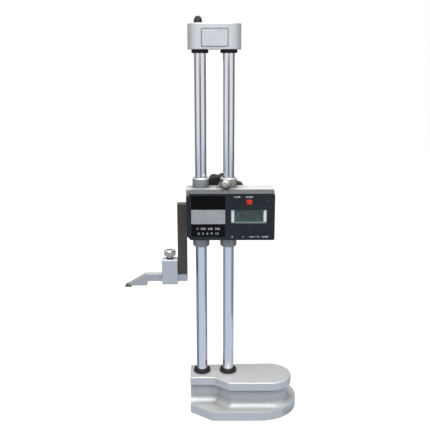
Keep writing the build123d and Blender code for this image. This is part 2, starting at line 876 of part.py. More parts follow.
with BuildPart() as feed_wheel:
    with BuildSketch(back_plane(wheel_front)) as rim:
        with Locations((-feed_x, feed_z)):
            Circle(wheel_r)
            with PolarLocations(wheel_r + flute_r - flute_depth, wheel_flutes, start_angle=first_flute):
                Circle(flute_r, mode=Mode.SUBTRACT)
        fillet(rim.vertices(), flute_edge_r)
    extrude(amount=wheel_back - wheel_front)
    with BuildSketch(Plane.XY.offset(feed_z)):
        with BuildLine():
            Polyline(
                (feed_x, wheel_front),
                (feed_x + wheel_front_r - wheel_edge, wheel_front),
                (feed_x + wheel_front_r, wheel_front + wheel_edge),
                (feed_x + wheel_r, wheel_front + wheel_shoulder),
                (feed_x + wheel_r, wheel_back - wheel_back_bevel),
                (feed_x + wheel_r - wheel_back_bevel, wheel_back),
                (feed_x, wheel_back),
                close=True,
            )
        make_face()
    revolve(axis=Axis((feed_x, 0, feed_z), (0, 1, 0)), mode=Mode.INTERSECT)
    with BuildSketch(back_plane(wheel_back)):
        with Locations((-feed_x, feed_z)):
            Circle(wheel_dish_r)
            Circle(wheel_hub_r, mode=Mode.SUBTRACT)
    extrude(amount=-wheel_dish, mode=Mode.SUBTRACT)
    with BuildSketch(back_plane(wheel_back)):
        with Locations((-feed_x, feed_z)):
            Circle(wheel_hub_r / 2)
    extrude(amount=-wheel_dish, mode=Mode.SUBTRACT)
    with BuildSketch(back_plane(hub_front)):
        with Locations((-feed_x, feed_z)):
            Circle(wheel_hub_r)
    extrude(amount=wheel_front - hub_front)
    with BuildSketch(back_plane(wheel_back)):
        with Locations((-feed_x, feed_z)):
            Circle(shaft_r + seat_gap)
    extrude(amount=-(wheel_back - hub_front), mode=Mode.SUBTRACT)
save(feed_wheel, "feed_wheel")

with BuildPart() as wheel_screw:
    with BuildSketch(back_plane(wheel_web)):
        with Locations((-feed_x, feed_z)):
            Circle(wheel_hub_r / 2 - slide_gap)
    extrude(amount=wheel_screw_head)
    fillet(wheel_screw.edges().group_by(Axis.Y)[-1], wheel_screw_edge_r)
    with BuildSketch(back_plane(wheel_web)):
        with Locations((-feed_x, feed_z)):
            Circle(housing_screw_r)
    extrude(amount=-wheel_screw_reach)
    with BuildSketch(back_plane(wheel_web + wheel_screw_head)):
        with Locations((-feed_x, feed_z)):
            RegularPolygon(wheel_screw_socket_r, 6)
    extrude(amount=-wheel_screw_socket, mode=Mode.SUBTRACT)
save(wheel_screw, "wheel_screw")

encoder_shaft = shaft(encoder_z, disc_y - 2 * disc_thick, block_back - blind_floor - slide_gap)
save(encoder_shaft, "encoder_shaft")

with BuildPart() as encoder_disc:
    with BuildSketch(front_plane(disc_y)):
        with Locations((feed_x, encoder_z)):
            Circle(disc_r)
            Circle(shaft_r + seat_gap, mode=Mode.SUBTRACT)
            with PolarLocations(disc_r - disc_slot_inset, disc_slots):
                Rectangle(disc_slot_length, disc_slot_width, mode=Mode.SUBTRACT)
    extrude(amount=disc_thick)
    with BuildSketch(front_plane(disc_y + disc_collar)):
        with Locations((feed_x, encoder_z)):
            Circle(shaft_r + disc_collar_rim)
            Circle(shaft_r + seat_gap, mode=Mode.SUBTRACT)
    extrude(amount=disc_collar)
save(encoder_disc, "encoder_disc")

with BuildPart() as read_head:
    reader_x = feed_x - disc_r
    with BuildSketch(front_plane(block_front)):
        with Locations((reader_x, encoder_z)):
            Rectangle(reader_width, reader_height)
    extrude(amount=disc_from_block + reader_over)
    with BuildSketch(front_plane(disc_y + reader_slot_gap)):
        with Locations((reader_x + reader_width / 2, encoder_z)):
            Rectangle(2 * (reader_width - reader_back), reader_height)
    extrude(amount=disc_thick + 2 * reader_slot_gap, mode=Mode.SUBTRACT)
save(read_head, "read_head")

# ---------------------------------------------------------------- knurled screws


def knurled_head(plane, radius, length, teeth):
    """A straight-knurled head that stands on a plane, domed at its far end."""
    with BuildPart() as head:
        with BuildSketch(plane):
            with BuildLine():
                points = []
                for number in range(2 * teeth):
                    reach = radius if number % 2 else radius - knurl_depth
                    turn = pi * number / teeth
                    points.append((reach * cos(turn), reach * sin(turn)))
                Polyline(*points, close=True)
            make_face()
        extrude(amount=length)
        side = Plane(origin=plane.origin, x_dir=plane.x_dir, z_dir=plane.z_dir.cross(plane.x_dir))
        with BuildSketch(side):
            with BuildLine():
                crown_foot = (radius, knurl_crown - length)
                crown_rim = (radius * crown_face, crown_dish - length)
                crown_middle = (radius * crown_shoulder, crown_drop - length)
                Polyline((0, 0), (radius - knurl_neck, 0), (radius, -knurl_foot), crown_foot)
                ThreePointArc(crown_foot, crown_middle, crown_rim)
                Polyline(crown_rim, (0, -length), (0, 0))
            make_face()
        revolve(axis=Axis(plane.origin, plane.z_dir), mode=Mode.INTERSECT)
    return head


with BuildPart() as slider_clamp_screw:
    add(knurled_head(clamp_plane(clamp_head_start), clamp_head_r, clamp_head_length, clamp_head_teeth).part)
    screw_start = column_r + 2 * running_gap + pad_length + seat_gap
    with BuildSketch(clamp_plane(screw_start)):
        Circle(clamp_thread_r)
    extrude(amount=clamp_head_start - screw_start)
save(slider_clamp_screw, "slider_clamp_screw")

knob_foot = reading + box_top + knob_lift
knob_plane = Plane(origin=(knob_x, 0, knob_foot))

with BuildPart() as scriber_clamp_screw:
    add(knurled_head(knob_plane, knob_r, knob_height, knob_teeth).part)
    with BuildSketch(Plane.XY.offset(box_ceiling - box_guide / 2)):
        with Locations((knob_x, 0)):
            Circle(knob_thread_r)
    extrude(amount=knob_foot - box_ceiling + box_guide)
save(scriber_clamp_screw, "scriber_clamp_screw")

# ---------------------------------------------------------------- jaw and scriber

with BuildPart() as jaw:
    with BuildSketch(front_plane(jaw_half)):
        with BuildLine():
            Polyline(
                (block_left, foot_bottom),
                (block_left, block_bottom + jaw_top),
                (jaw_left, block_bottom + jaw_top),
                (jaw_left, foot_top),
                (foot_left, foot_top),
                (foot_left, foot_bottom),
                close=True,
            )
        make_face()
    extrude(amount=2 * jaw_half)
    foot_length = jaw_left - foot_left
    for y in (-1, 1):
        side_middle = y * (jaw_half + bar_size / 2) / 2
        with BuildSketch(front_plane(side_middle + (jaw_half - bar_size / 2) / 2)):
            with Locations(((foot_left + jaw_left) / 2, (foot_bottom + foot_top) / 2)):
                Rectangle(foot_length, foot_height + cut_over)
        extrude(amount=jaw_half - bar_size / 2, mode=Mode.SUBTRACT)
    chamfer(jaw.edges().filter_by(Axis.Z).filter_by(lambda e: e.length > 2 * foot_height), jaw_chamfer)
    chamfer(jaw.faces().sort_by(Axis.Z)[-1].edges(), jaw_chamfer)
    for low in jaw_screw_lows:
        with BuildSketch(Plane(origin=(jaw_left, 0, block_bottom + low), z_dir=(-1, 0, 0))):
            Circle(jaw_screw_r + slide_gap)
        extrude(amount=-jaw_width, mode=Mode.SUBTRACT)
        with BuildSketch(Plane(origin=(jaw_left, 0, block_bottom + low), z_dir=(-1, 0, 0))):
            Circle(jaw_screw_head_r + slide_gap)
        extrude(amount=-jaw_screw_head - jaw_screw_sink, mode=Mode.SUBTRACT)
save(jaw, "jaw")

with BuildPart() as jaw_screws:
    for low in jaw_screw_lows:
        seat_x = jaw_left + jaw_screw_head + jaw_screw_sink
        seat = Plane(origin=(seat_x, 0, block_bottom + low), z_dir=(-1, 0, 0))
        with BuildSketch(seat):
            Circle(jaw_screw_head_r)
        extrude(amount=jaw_screw_head)
        with BuildSketch(seat):
            Circle(jaw_screw_r)
        extrude(amount=seat_x - block_left - jaw_screw_reach + tap_gap)
        with BuildSketch(seat.offset(jaw_screw_head)):
            RegularPolygon(jaw_screw_socket_r, 6)
        extrude(amount=-jaw_screw_socket, mode=Mode.SUBTRACT)
save(jaw_screws, "jaw_screws")

slope = (bar_top - reading - tip_land) / (bar_left - bar_tip)
tip_seat_z = reading + carbide_height
tip_seat_x = bar_tip + (tip_seat_z - reading - tip_land) / slope

with BuildPart() as scriber_bar:
    with BuildSketch(front_plane(bar_size / 2)) as side_view:
        with BuildLine():
            Polyline(
                (block_left, bar_bottom),
                (block_left, bar_top),
                (bar_left, bar_top),
                (tip_seat_x, tip_seat_z),
                (carbide_right, tip_seat_z),
                (carbide_right, reading + blade_rise),
                (blade_right, reading + blade_rise),
                (blade_right, bar_bottom),
                close=True,
            )
        make_face()
        fillet(corner(side_view, blade_right, bar_bottom), blade_root_r)
        fillet(corner(side_view, blade_right, reading + blade_rise), blade_heel_r)
    extrude(amount=bar_size)
    chamfer(scriber_bar.faces().sort_by(Axis.X)[-1].edges(), bar_end_chamfer)
save(scriber_bar, "scriber_bar")

with BuildPart() as carbide_tip:
    with BuildSketch(front_plane(bar_size / 2)):
        with BuildLine():
            Polyline(
                (bar_tip, reading),
                (carbide_right, reading),
                (carbide_right, tip_seat_z),
                (tip_seat_x, tip_seat_z),
                (bar_tip, reading + tip_land),
                close=True,
            )
        make_face()
    extrude(amount=bar_size)
    chamfer(carbide_tip.edges().filter_by(Axis.Z).group_by(Axis.X)[0], carbide_corner)
save(carbide_tip, "carbide_tip")

with BuildPart() as clamp_box:
    with BuildSketch(Plane.XY.offset(reading + box_bottom)):
        with Locations((knob_x, 0)):
            Rectangle(box_right - box_left, 2 * box_half)
    extrude(amount=box_top - box_bottom)
    chamfer(clamp_box.edges(), box_chamfer)
    with BuildSketch(Plane(origin=(box_left, 0, 0), x_dir=(0, -1, 0), z_dir=(-1, 0, 0))):
        with Locations((0, (bar_bottom - box_guide + box_ceiling) / 2)):
            Rectangle(bar_size + 2 * box_guide, box_ceiling - bar_bottom + box_guide)
    extrude(amount=-(box_right - box_left), mode=Mode.SUBTRACT)
    with Locations((knob_x, 0, reading + box_top)):
        Hole(radius=knob_thread_r + running_gap, depth=reading + box_top - box_ceiling + cut_over)
save(clamp_box, "scriber_clamp")

# ---------------------------------------------------------------- display housing


def housing_block():
    """Outer form of the display housing, with rounded front edges."""
    with BuildPart() as block:
        with BuildSketch(front_plane(block_front)) as face:
            with Locations(((housing_left + housing_right) / 2, (block_bottom + block_top) / 2)):
                Rectangle(housing_right - housing_left, block_height)
            chamfer(corner(face, housing_left, block_top), housing_chamfer)
            chamfer(corner(face, housing_left, block_bottom), housing_chamfer)
            fillet(corner(face, housing_right, block_top), housing_corner_r)
            fillet(corner(face, housing_right, block_bottom), housing_foot_corner_r)
        extrude(amount=housing_depth)
        fillet(block.faces().sort_by(Axis.Y)[0].edges(), housing_edge_r)
    return block


def cover_room(gap):
    """The space of the battery cover, open towards the housing's right side."""
    room_left = cover_left - gap
    room_right = housing_right + cut_over
    with BuildPart() as room:
        with BuildSketch(front_plane(front_y + cover_thick + gap)):
            with Locations(((room_left + room_right) / 2, cell_z)):
                Rectangle(room_right - room_left, cover_height + 2 * gap)
        extrude(amount=cover_thick + gap + cut_over)
    return room


def round_button_places():
    """Centres of the round buttons on the front."""
    places = {"data_button": (data_x, block_bottom + data_z)}
    for number, step in enumerate(button_steps, start=1):
        places[f"function_button_{number}"] = (window_left + step, block_bottom + button_z)
    return places


cell_z = block_bottom + (cover_low + cover_high) / 2
tray_r = cell_r + slide_gap + tray_wall
window_center = ((window_left + window_right) / 2, block_bottom + (window_low + window_high) / 2)
label_center = ((label_left + label_right) / 2, block_bottom + (label_low + label_high) / 2)
post_places = [
    (board_left + post_inset, block_bottom + board_edge_gap + post_inset),
    (board_right - post_inset, block_bottom + board_edge_gap + post_inset),
    (board_left + post_inset, block_bottom + board_high - post_inset),
    (cover_left - cover_post_gap, block_bottom + board_high - post_inset),
]

with BuildPart() as housing:
    add(housing_block().part)
    with BuildSketch(front_plane(block_front)) as cavity:
        with Locations(((housing_left + housing_right) / 2, (block_bottom + block_top) / 2)):
            Rectangle(housing_right - housing_left - 2 * housing_wall, block_height - 2 * housing_wall)
        inner_left = housing_left + housing_wall
        chamfer(corner(cavity, inner_left, block_top - housing_wall), housing_inner_chamfer)
        chamfer(corner(cavity, inner_left, block_bottom + housing_wall), housing_inner_chamfer)
    extrude(amount=housing_depth - housing_wall, mode=Mode.SUBTRACT)
    for place in post_places:
        with BuildSketch(front_plane(board_y)):
            with Locations(place):
                Circle(post_r)
        extrude(amount=board_y - inner_y)
        with BuildSketch(front_plane(board_y)):
            with Locations(place):
                Circle(board_screw_r + seat_gap)
        extrude(amount=board_y - inner_y - post_floor, mode=Mode.SUBTRACT)
    for x in housing_screw_xs:
        for low in housing_screw_lows:
            with BuildSketch(front_plane(block_front)):
                with Locations((x, block_bottom + low)):
                    Circle(housing_post_r)
            extrude(amount=housing_post_length)
            with BuildSketch(front_plane(block_front)):
                with Locations((x, block_bottom + low)):
                    Circle(housing_screw_r + seat_gap)
            extrude(amount=housing_post_length - housing_post_floor, mode=Mode.SUBTRACT)
    with BuildSketch(front_plane(front_y + label_sink)):
        with Locations(label_center):
            Rectangle(label_width + slide_gap, label_high - label_low + slide_gap)
    extrude(amount=label_sink + cut_over, mode=Mode.SUBTRACT)
    with BuildSketch(front_plane(inner_y)):
        with Locations(window_center):
            Rectangle(window_width, window_height)
        with Locations((power_x, block_bottom + power_z)):
            Rectangle(power_width + 2 * slide_gap, power_height + 2 * slide_gap)
        for place in round_button_places().values():
            with Locations(place):
                Circle(button_r + slide_gap)
        with Locations((cell_x, cell_z)):
            Circle(cell_r + slide_gap)
    extrude(amount=housing_wall + cut_over, mode=Mode.SUBTRACT)
    add(cover_room(slide_gap).part, mode=Mode.SUBTRACT)
save(housing, "display_housing")

with BuildPart() as battery_cover:
    add(housing_block().part)
    add(cover_room(0).part, mode=Mode.INTERSECT)
    with BuildSketch(front_plane(front_y)):
        with Locations((cell_x + groove_from_cell, cell_z)):
            for step in (-1, 0, 1):
                with Locations((groove_pitch * step, 0)):
                    Rectangle(groove_width, groove_length)
    extrude(amount=-groove_depth, mode=Mode.SUBTRACT)
save(battery_cover, "battery_cover")

with BuildPart() as label_panel:
    with BuildSketch(front_plane(front_y + label_sink)):
        with Locations(label_center):
            Rectangle(label_width, label_high - label_low)
    extrude(amount=label_thick)
save(label_panel, "label_panel")

with BuildPart() as range_plate:
    with BuildSketch(front_plane(front_y + label_sink - label_thick)):
        with Locations((label_center[0], block_bottom + strip_low + strip_height / 2)):
            Rectangle(label_width, strip_height)
    extrude(amount=strip_thick)
save(range_plate, "range_plate")

with BuildPart() as window_lens:
    with BuildSketch(front_plane(front_y + window_sink + window_thick)):
        with Locations(window_center):
            Rectangle(window_width - 2 * seat_gap, window_height - 2 * seat_gap)
    extrude(amount=window_thick)
save(window_lens, "window_lens")

lcd_bottom = block_bottom + window_low + lcd_rise
lcd_top = block_bottom + window_high + lcd_over
lcd_center = ((lcd_left + lcd_right) / 2, (lcd_bottom + lcd_top) / 2)
lcd_width = lcd_right - lcd_left
lcd_height = lcd_top - lcd_bottom
frame_front = inner_y + frame_gap
frame_low = block_bottom + window_low - frame_margin
frame_high = block_bottom + window_high + frame_top_margin

with BuildPart() as lcd_frame:
    with BuildSketch(front_plane(board_y)):
        with Locations((window_center[0], (frame_low + frame_high) / 2)):
            Rectangle(window_width + 2 * frame_margin, frame_high - frame_low)
        with Locations(lcd_center):
            Rectangle(lcd_width, lcd_height, mode=Mode.SUBTRACT)
    extrude(amount=board_y - frame_front)
save(lcd_frame, "lcd_frame")

glass_back = frame_front + glass_sink + glass_thick

with BuildPart() as lcd_glass:
    with BuildSketch(front_plane(glass_back)):
        with Locations(lcd_center):
            Rectangle(lcd_width - 2 * seat_gap, lcd_height - 2 * seat_gap)
    extrude(amount=glass_thick)
save(lcd_glass, "lcd_glass")

with BuildPart() as contact_strips:
    for z in (lcd_bottom + strip_inset, lcd_top - strip_inset):
        with BuildSketch(front_plane(board_y)):
            with Locations((lcd_center[0], z)):
                Rectangle(lcd_width - strip_side, strip_side)
        extrude(amount=board_y - glass_back)
save(contact_strips, "contact_strips")

with BuildPart() as circuit_board:
    with BuildSketch(front_plane(board_y + board_thick)):
        with Locations(((board_left + board_right) / 2, block_bottom + (board_edge_gap + board_high) / 2)):
            Rectangle(board_right - board_left, board_high - board_edge_gap)
        for place in post_places:
            with Locations(place):
                Circle(board_screw_r + slide_gap, mode=Mode.SUBTRACT)
        with Locations((cell_x, cell_z)):
            Circle(tray_r + tray_room, mode=Mode.SUBTRACT)
    extrude(amount=board_thick)
save(circuit_board, "circuit_board")

with BuildPart() as board_screws:
    for place in post_places:
        with BuildSketch(back_plane(board_y + board_thick)):
            with Locations((-place[0], place[1])):
                Circle(board_screw_head_r)
        extrude(amount=board_screw_head)
        with BuildSketch(back_plane(board_y + board_thick)):
            with Locations((-place[0], place[1])):
                Circle(board_screw_r)
        extrude(amount=-(board_thick + board_screw_reach))
save(board_screws, "board_screws")

with BuildPart() as battery_tray:
    with BuildSketch(front_plane(inner_y + cell_thick + tray_wall)):
        with Locations((cell_x, cell_z)):
            Circle(tray_r)
    extrude(amount=cell_thick + tray_wall)
    with BuildSketch(front_plane(inner_y + cell_thick)):
        with Locations((cell_x, cell_z)):
            Circle(cell_r + slide_gap)
    extrude(amount=cell_thick, mode=Mode.SUBTRACT)
    trim = Plane.XY.offset(block_top - housing_wall - seat_gap)
    split(bisect_by=trim, keep=Keep.BOTTOM)
save(battery_tray, "battery_tray")

with BuildPart() as coin_cell:
    with BuildSketch(front_plane(inner_y + cell_thick)):
        with Locations((cell_x, cell_z)):
            Circle(cell_r)
    extrude(amount=cell_thick)
    fillet(coin_cell.edges(), cell_edge_r)
save(coin_cell, "coin_cell")

with BuildPart() as housing_screws:
    for x in housing_screw_xs:
        for low in housing_screw_lows:
            seat_y = block_back - housing_screw_head - housing_screw_sink
            with BuildSketch(back_plane(seat_y)):
                with Locations((-x, block_bottom + low)):
                    Circle(housing_screw_head_r)
            extrude(amount=housing_screw_head)
            with BuildSketch(back_plane(seat_y)):
                with Locations((-x, block_bottom + low)):
                    Circle(housing_screw_r)
            extrude(amount=block_front - seat_y - housing_post_length + housing_post_floor + tap_gap)
            with BuildSketch(back_plane(seat_y + housing_screw_head)):
                with Locations((-x, block_bottom + low)):
                    RegularPolygon(housing_screw_socket_r, 6)
            extrude(amount=-housing_screw_socket, mode=Mode.SUBTRACT)
save(housing_screws, "housing_screws")

# ---------------------------------------------------------------- buttons

stem_y = inner_y + button_flange + button_stem
switch_front = stem_y + button_travel + switch_gap


def button(place, outline, flange):
    """A button from its place, front outline and retaining flange: cap, flange and stem."""
    with BuildPart() as cap:
        extrude(to_extrude=outline, amount=inner_y + seat_gap - front_y + button_proud)
        fillet(cap.faces().sort_by(Axis.Y)[0].edges(), button_edge_r)
        extrude(to_extrude=flange, amount=-button_flange)
        with BuildSketch(front_plane(stem_y)):
            with Locations(place):
                Circle(stem_r)
        extrude(amount=stem_y - inner_y - seat_gap)
    return cap


for label, place in round_button_places().items():
    with BuildSketch(front_plane(inner_y + seat_gap)) as cap_face:
        with Locations(place):
            Circle(button_r)
    with BuildSketch(front_plane(inner_y + seat_gap)) as flange_face:
        with Locations(place):
            Circle(button_r + button_flange_rim)
    save(button(place, cap_face.sketch, flange_face.sketch), label)

with BuildSketch(front_plane(inner_y + seat_gap)) as power_face:
    with Locations((power_x, block_bottom + power_z)):
        RectangleRounded(power_width, power_height, power_corner_r)
with BuildSketch(front_plane(inner_y + seat_gap)) as power_flange:
    with Locations((power_x, block_bottom + power_z)):
        Rectangle(power_width + 2 * button_flange_rim, power_height + 2 * button_flange_rim)
save(button((power_x, block_bottom + power_z), power_face.sketch, power_flange.sketch), "power_button")

with BuildPart() as switches:
    for place in [(power_x, block_bottom + power_z)] + list(round_button_places().values()):
        with BuildSketch(front_plane(board_y)):
            with Locations(place):
                Rectangle(switch_size, switch_size)
        extrude(amount=(board_y - switch_front) * switch_share)
        with BuildSketch(front_plane(board_y)):
            with Locations(place):
                Circle(stem_r)
        extrude(amount=board_y - switch_front)
save(switches, "switches")
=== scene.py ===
"""Looks of the height gauge: finishes for every piece, the printed marks and a plain pale studio."""

from math import cos, pi, radians, sin

import bmesh
import bpy
from mathutils import Matrix, Vector


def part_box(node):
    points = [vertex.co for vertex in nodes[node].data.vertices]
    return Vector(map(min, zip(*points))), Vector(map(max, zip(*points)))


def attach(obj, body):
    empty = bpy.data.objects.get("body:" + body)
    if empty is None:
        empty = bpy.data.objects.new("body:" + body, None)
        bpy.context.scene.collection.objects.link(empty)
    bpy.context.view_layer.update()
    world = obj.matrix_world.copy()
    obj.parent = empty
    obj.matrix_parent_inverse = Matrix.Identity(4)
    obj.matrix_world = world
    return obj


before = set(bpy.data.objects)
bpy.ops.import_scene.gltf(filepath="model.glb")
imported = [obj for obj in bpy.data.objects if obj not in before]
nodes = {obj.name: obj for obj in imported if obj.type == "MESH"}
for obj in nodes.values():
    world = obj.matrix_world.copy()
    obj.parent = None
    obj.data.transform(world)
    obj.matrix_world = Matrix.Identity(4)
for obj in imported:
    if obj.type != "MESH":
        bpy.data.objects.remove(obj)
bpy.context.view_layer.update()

MM = 0.001
FAR = 6.0  # half the floor's width, in metres

# ---------------------------------------------------------------- material helpers


class Finish:
    """A principled material that is built up from object-space procedural textures."""

    def __init__(self, name, metallic=0.0, specular=0.5, coat=0.0, coat_roughness=0.1):
        self.material = bpy.data.materials.new(name)
        self.material.use_nodes = True
        self.tree = self.material.node_tree
        self.shader = self.tree.nodes["Principled BSDF"]
        self.shader.inputs["Metallic"].default_value = metallic
        self.shader.inputs["Specular IOR Level"].default_value = specular
        self.shader.inputs["Coat Weight"].default_value = coat
        self.shader.inputs["Coat Roughness"].default_value = coat_roughness
        self.place = self.tree.nodes.new("ShaderNodeTexCoord").outputs["Object"]
        self.normal = None

    def node(self, kind, **settings):
        made = self.tree.nodes.new(kind)
        for key, value in settings.items():
            setattr(made, key, value)
        return made

    def link(self, source, target):
        self.tree.links.new(source, target)

    def stretched(self, scale):
        """Object coordinates in millimetres, scaled by one factor for each axis."""
        mapping = self.node("ShaderNodeMapping")
        mapping.inputs["Scale"].default_value = [factor / MM for factor in scale]
        self.link(self.place, mapping.inputs["Vector"])
        return mapping.outputs["Vector"]

    def noise(self, scale, detail=3.0, roughness=0.55):
        """Noise whose features repeat about once per 1 / scale millimetres along each axis."""
        texture = self.node("ShaderNodeTexNoise")
        texture.inputs["Scale"].default_value = 1.0
        texture.inputs["Detail"].default_value = detail
        texture.inputs["Roughness"].default_value = roughness
        self.link(self.stretched(scale), texture.inputs["Vector"])
        return texture.outputs["Fac"]

    def even_noise(self, scale, detail=3.0, roughness=0.55):
        """Noise of the same scale along all three axes."""
        return self.noise((scale, scale, scale), detail, roughness)

    def ramp(self, factor, low, high, start=0.3, end=0.7):
        """A colour that runs from low to high as the factor runs from start to end."""
        blend = self.node("ShaderNodeValToRGB")
        blend.color_ramp.elements[0].position = start
        blend.color_ramp.elements[1].position = end
        blend.color_ramp.elements[0].color = (*low, 1)
        blend.color_ramp.elements[1].color = (*high, 1)
        self.link(factor, blend.inputs["Fac"])
        return blend.outputs["Color"]

    def span(self, factor, low, high, start=0.3, end=0.7):
        """A number that runs from low to high as the factor runs from start to end."""
        blend = self.node("ShaderNodeMapRange")
        blend.inputs["From Min"].default_value = start
        blend.inputs["From Max"].default_value = end
        blend.inputs["To Min"].default_value = low
        blend.inputs["To Max"].default_value = high
        self.link(factor, blend.inputs["Value"])
        return blend.outputs["Result"]

    def mix(self, factor, low, high):
        """Two colours mixed by a factor."""
        blend = self.node("ShaderNodeMix", data_type="RGBA")
        self.link(factor, blend.inputs["Factor"])
        for source, target in ((low, blend.inputs["A"]), (high, blend.inputs["B"])):
            if isinstance(source, tuple):
                target.default_value = (*source, 1)
            else:
                self.link(source, target)
        return blend.outputs["Result"]

    def bevelled(self, width):
        """The normal of a surface whose edges are rounded over a width in millimetres."""
        bevel = self.node("ShaderNodeBevel", samples=6)
        bevel.inputs["Radius"].default_value = width * MM
        return bevel.outputs["Normal"]

    def edges(self, width, start=0.02, end=0.25):
        """A mask that is 1 on the edges of a piece, within a width in millimetres."""
        rounded = self.bevelled(width)
        geometry = self.node("ShaderNodeNewGeometry")
        dot = self.node("ShaderNodeVectorMath", operation="DOT_PRODUCT")
        self.link(rounded, dot.inputs[0])
        self.link(geometry.outputs["Normal"], dot.inputs[1])
        return self.span(dot.outputs["Value"], 1.0, 0.0, 1 - end, 1 - start)

    def hollows(self, reach, low=0.3, high=0.95):
        """A mask that falls from 1 in the open to 0 deep in a corner, over a reach in millimetres."""
        shade = self.node("ShaderNodeAmbientOcclusion", samples=8, only_local=True)
        shade.inputs["Distance"].default_value = reach * MM
        return self.span(shade.outputs["AO"], 0.0, 1.0, low, high)

    def facing_up(self, start=0.3, end=0.75):
        """A mask that is 1 on faces that look up."""
        parts = self.node("ShaderNodeSeparateXYZ")
        self.link(self.node("ShaderNodeNewGeometry").outputs["Normal"], parts.inputs[0])
        return self.span(parts.outputs["Z"], 0.0, 1.0, start, end)

    def below(self, height, soft=0.1):
        """A mask that is 1 under a height in millimetres above the floor, in the rest pose."""
        parts = self.node("ShaderNodeSeparateXYZ")
        self.link(self.place, parts.inputs[0])
        return self.span(parts.outputs["Z"], 1.0, 0.0, (height - soft) * MM, (height + soft) * MM)

    def color(self, source):
        self.link(source, self.shader.inputs["Base Color"])

    def rough(self, source):
        self.link(source, self.shader.inputs["Roughness"])

    def round_edges(self, width):
        """Softens the shading of sharp edges over a width in millimetres."""
        self.normal = self.bevelled(width)
        self.link(self.normal, self.shader.inputs["Normal"])

    def bump(self, height, depth, strength=1.0):
        """Raises the surface by a height map, whose full range is a depth in millimetres."""
        bump = self.node("ShaderNodeBump")
        bump.inputs["Strength"].default_value = strength
        bump.inputs["Distance"].default_value = depth * MM
        self.link(height, bump.inputs["Height"])
        if self.normal is not None:
            self.link(self.normal, bump.inputs["Normal"])
        self.normal = bump.outputs["Normal"]
        self.link(self.normal, self.shader.inputs["Normal"])


def grey(value, tint=(1.0, 1.0, 1.0)):
    """A linear grey with a slight tint."""
    return tuple(value * part for part in tint)


# Slight tints of a grey
COOL = (0.96, 1.0, 1.06)
PAINT = (0.975, 1.0, 1.02)
LILAC = (0.98, 0.98, 1.06)

# ---------------------------------------------------------------- finishes


def cast_paint(name="cast_paint", tone=1.0, lit_top=None):
    """Aluminium lacquer on a fine cast skin, with a painted highlight along its edges, painted light on
    faces that look up, and painted shade darkening its hollows.
    """
    thin_cover, full_cover = (0.50, 0.67), (0.54, 0.72)  # darkest and lightest grey of the speckle
    # reach and grey of the painted shade in hollows and corners
    shade_reach, shade_grey = 16, 0.10
    # width and grey of the painted highlight along the edges
    highlight_width, highlight_grey = 0.8, 0.86
    finish = Finish(name, metallic=0.45, specular=0.5)
    speckle = finish.even_noise(2.6, detail=4, roughness=0.7)
    cloud = finish.even_noise(0.05)
    covers = [
        finish.ramp(speckle, grey(dark * tone, PAINT), grey(light * tone, PAINT))
        for dark, light in (thin_cover, full_cover)
    ]
    body = finish.mix(cloud, *covers)
    # painted light: faces that look up are made paler, as if lit from above
    if lit_top is not None:
        painted_top_light = finish.ramp(speckle, grey(lit_top * 0.93), grey(lit_top))
        body = finish.mix(finish.facing_up(0.6, 0.9), body, painted_top_light)
    # painted shade: darker where ambient occlusion finds a hollow or a corner
    body = finish.mix(finish.hollows(shade_reach, 0.45, 1.0), grey(shade_grey, COOL), body)
    # painted highlight: the edges are made lighter
    finish.color(finish.mix(finish.edges(highlight_width), body, grey(highlight_grey, PAINT)))
    finish.rough(finish.span(speckle, 0.40, 0.50))
    finish.round_edges(0.35)
    finish.bump(speckle, 0.10)
    finish.bump(finish.even_noise(0.25, detail=2), 0.12, 0.5)
    return finish.material


def ground_cylinder(name, tone, tint, rough_low, rough_high):
    """Hard chrome, ground round the column, with faint drawn marks along it."""
    finish = Finish(name, metallic=1.0)
    rings = finish.noise((0.15, 0.15, 5.0), detail=4, roughness=0.6)
    marks = finish.noise((2.2, 2.2, 0.03), detail=3)
    tone_low, tone_high = grey(tone * 0.93, tint), grey(tone, tint)
    finish.color(finish.mix(marks, finish.ramp(rings, tone_low, tone_high), tone_high))
    finish.rough(finish.span(rings, rough_low, rough_high))
    finish.round_edges(0.3)
    finish.bump(rings, 0.004)
    finish.bump(marks, 0.006, 0.6)
    return finish.material


def brushed(
    name, tone_low, tone_high, along, rough_low, rough_high,
    edge_highlight_tone=None, fine=6.0, depth=0.02, lit_top=None,
):
    """Ground or brushed metal with streaks along one axis, and darker handled patches; where asked, a
    painted highlight along its edges and painted light on faces that look up.
    """
    stretch, patch_tone = 0.02, 0.82
    finish = Finish(name, metallic=1.0)
    scale = [fine, fine, fine]
    scale[along] = fine * stretch
    streaks = finish.noise(tuple(scale), detail=5, roughness=0.65)
    patches = finish.even_noise(0.12)
    body = finish.ramp(streaks, tone_low, tone_high)
    darker = tuple(part * patch_tone for part in tone_low)
    body = finish.mix(finish.span(patches, 0.0, 0.55, 0.35, 0.75), body, darker)
    # painted highlight: the edges take a lighter tone
    if edge_highlight_tone is not None:
        body = finish.mix(finish.edges(0.4), body, edge_highlight_tone)
    # painted light: faces that look up take a paler colour
    if lit_top is not None:
        body = finish.mix(finish.facing_up(0.6, 0.9), body, lit_top)
    finish.color(body)
    finish.rough(finish.span(streaks, rough_low, rough_high))
    finish.round_edges(0.2)
    finish.bump(streaks, depth)
    return finish.material


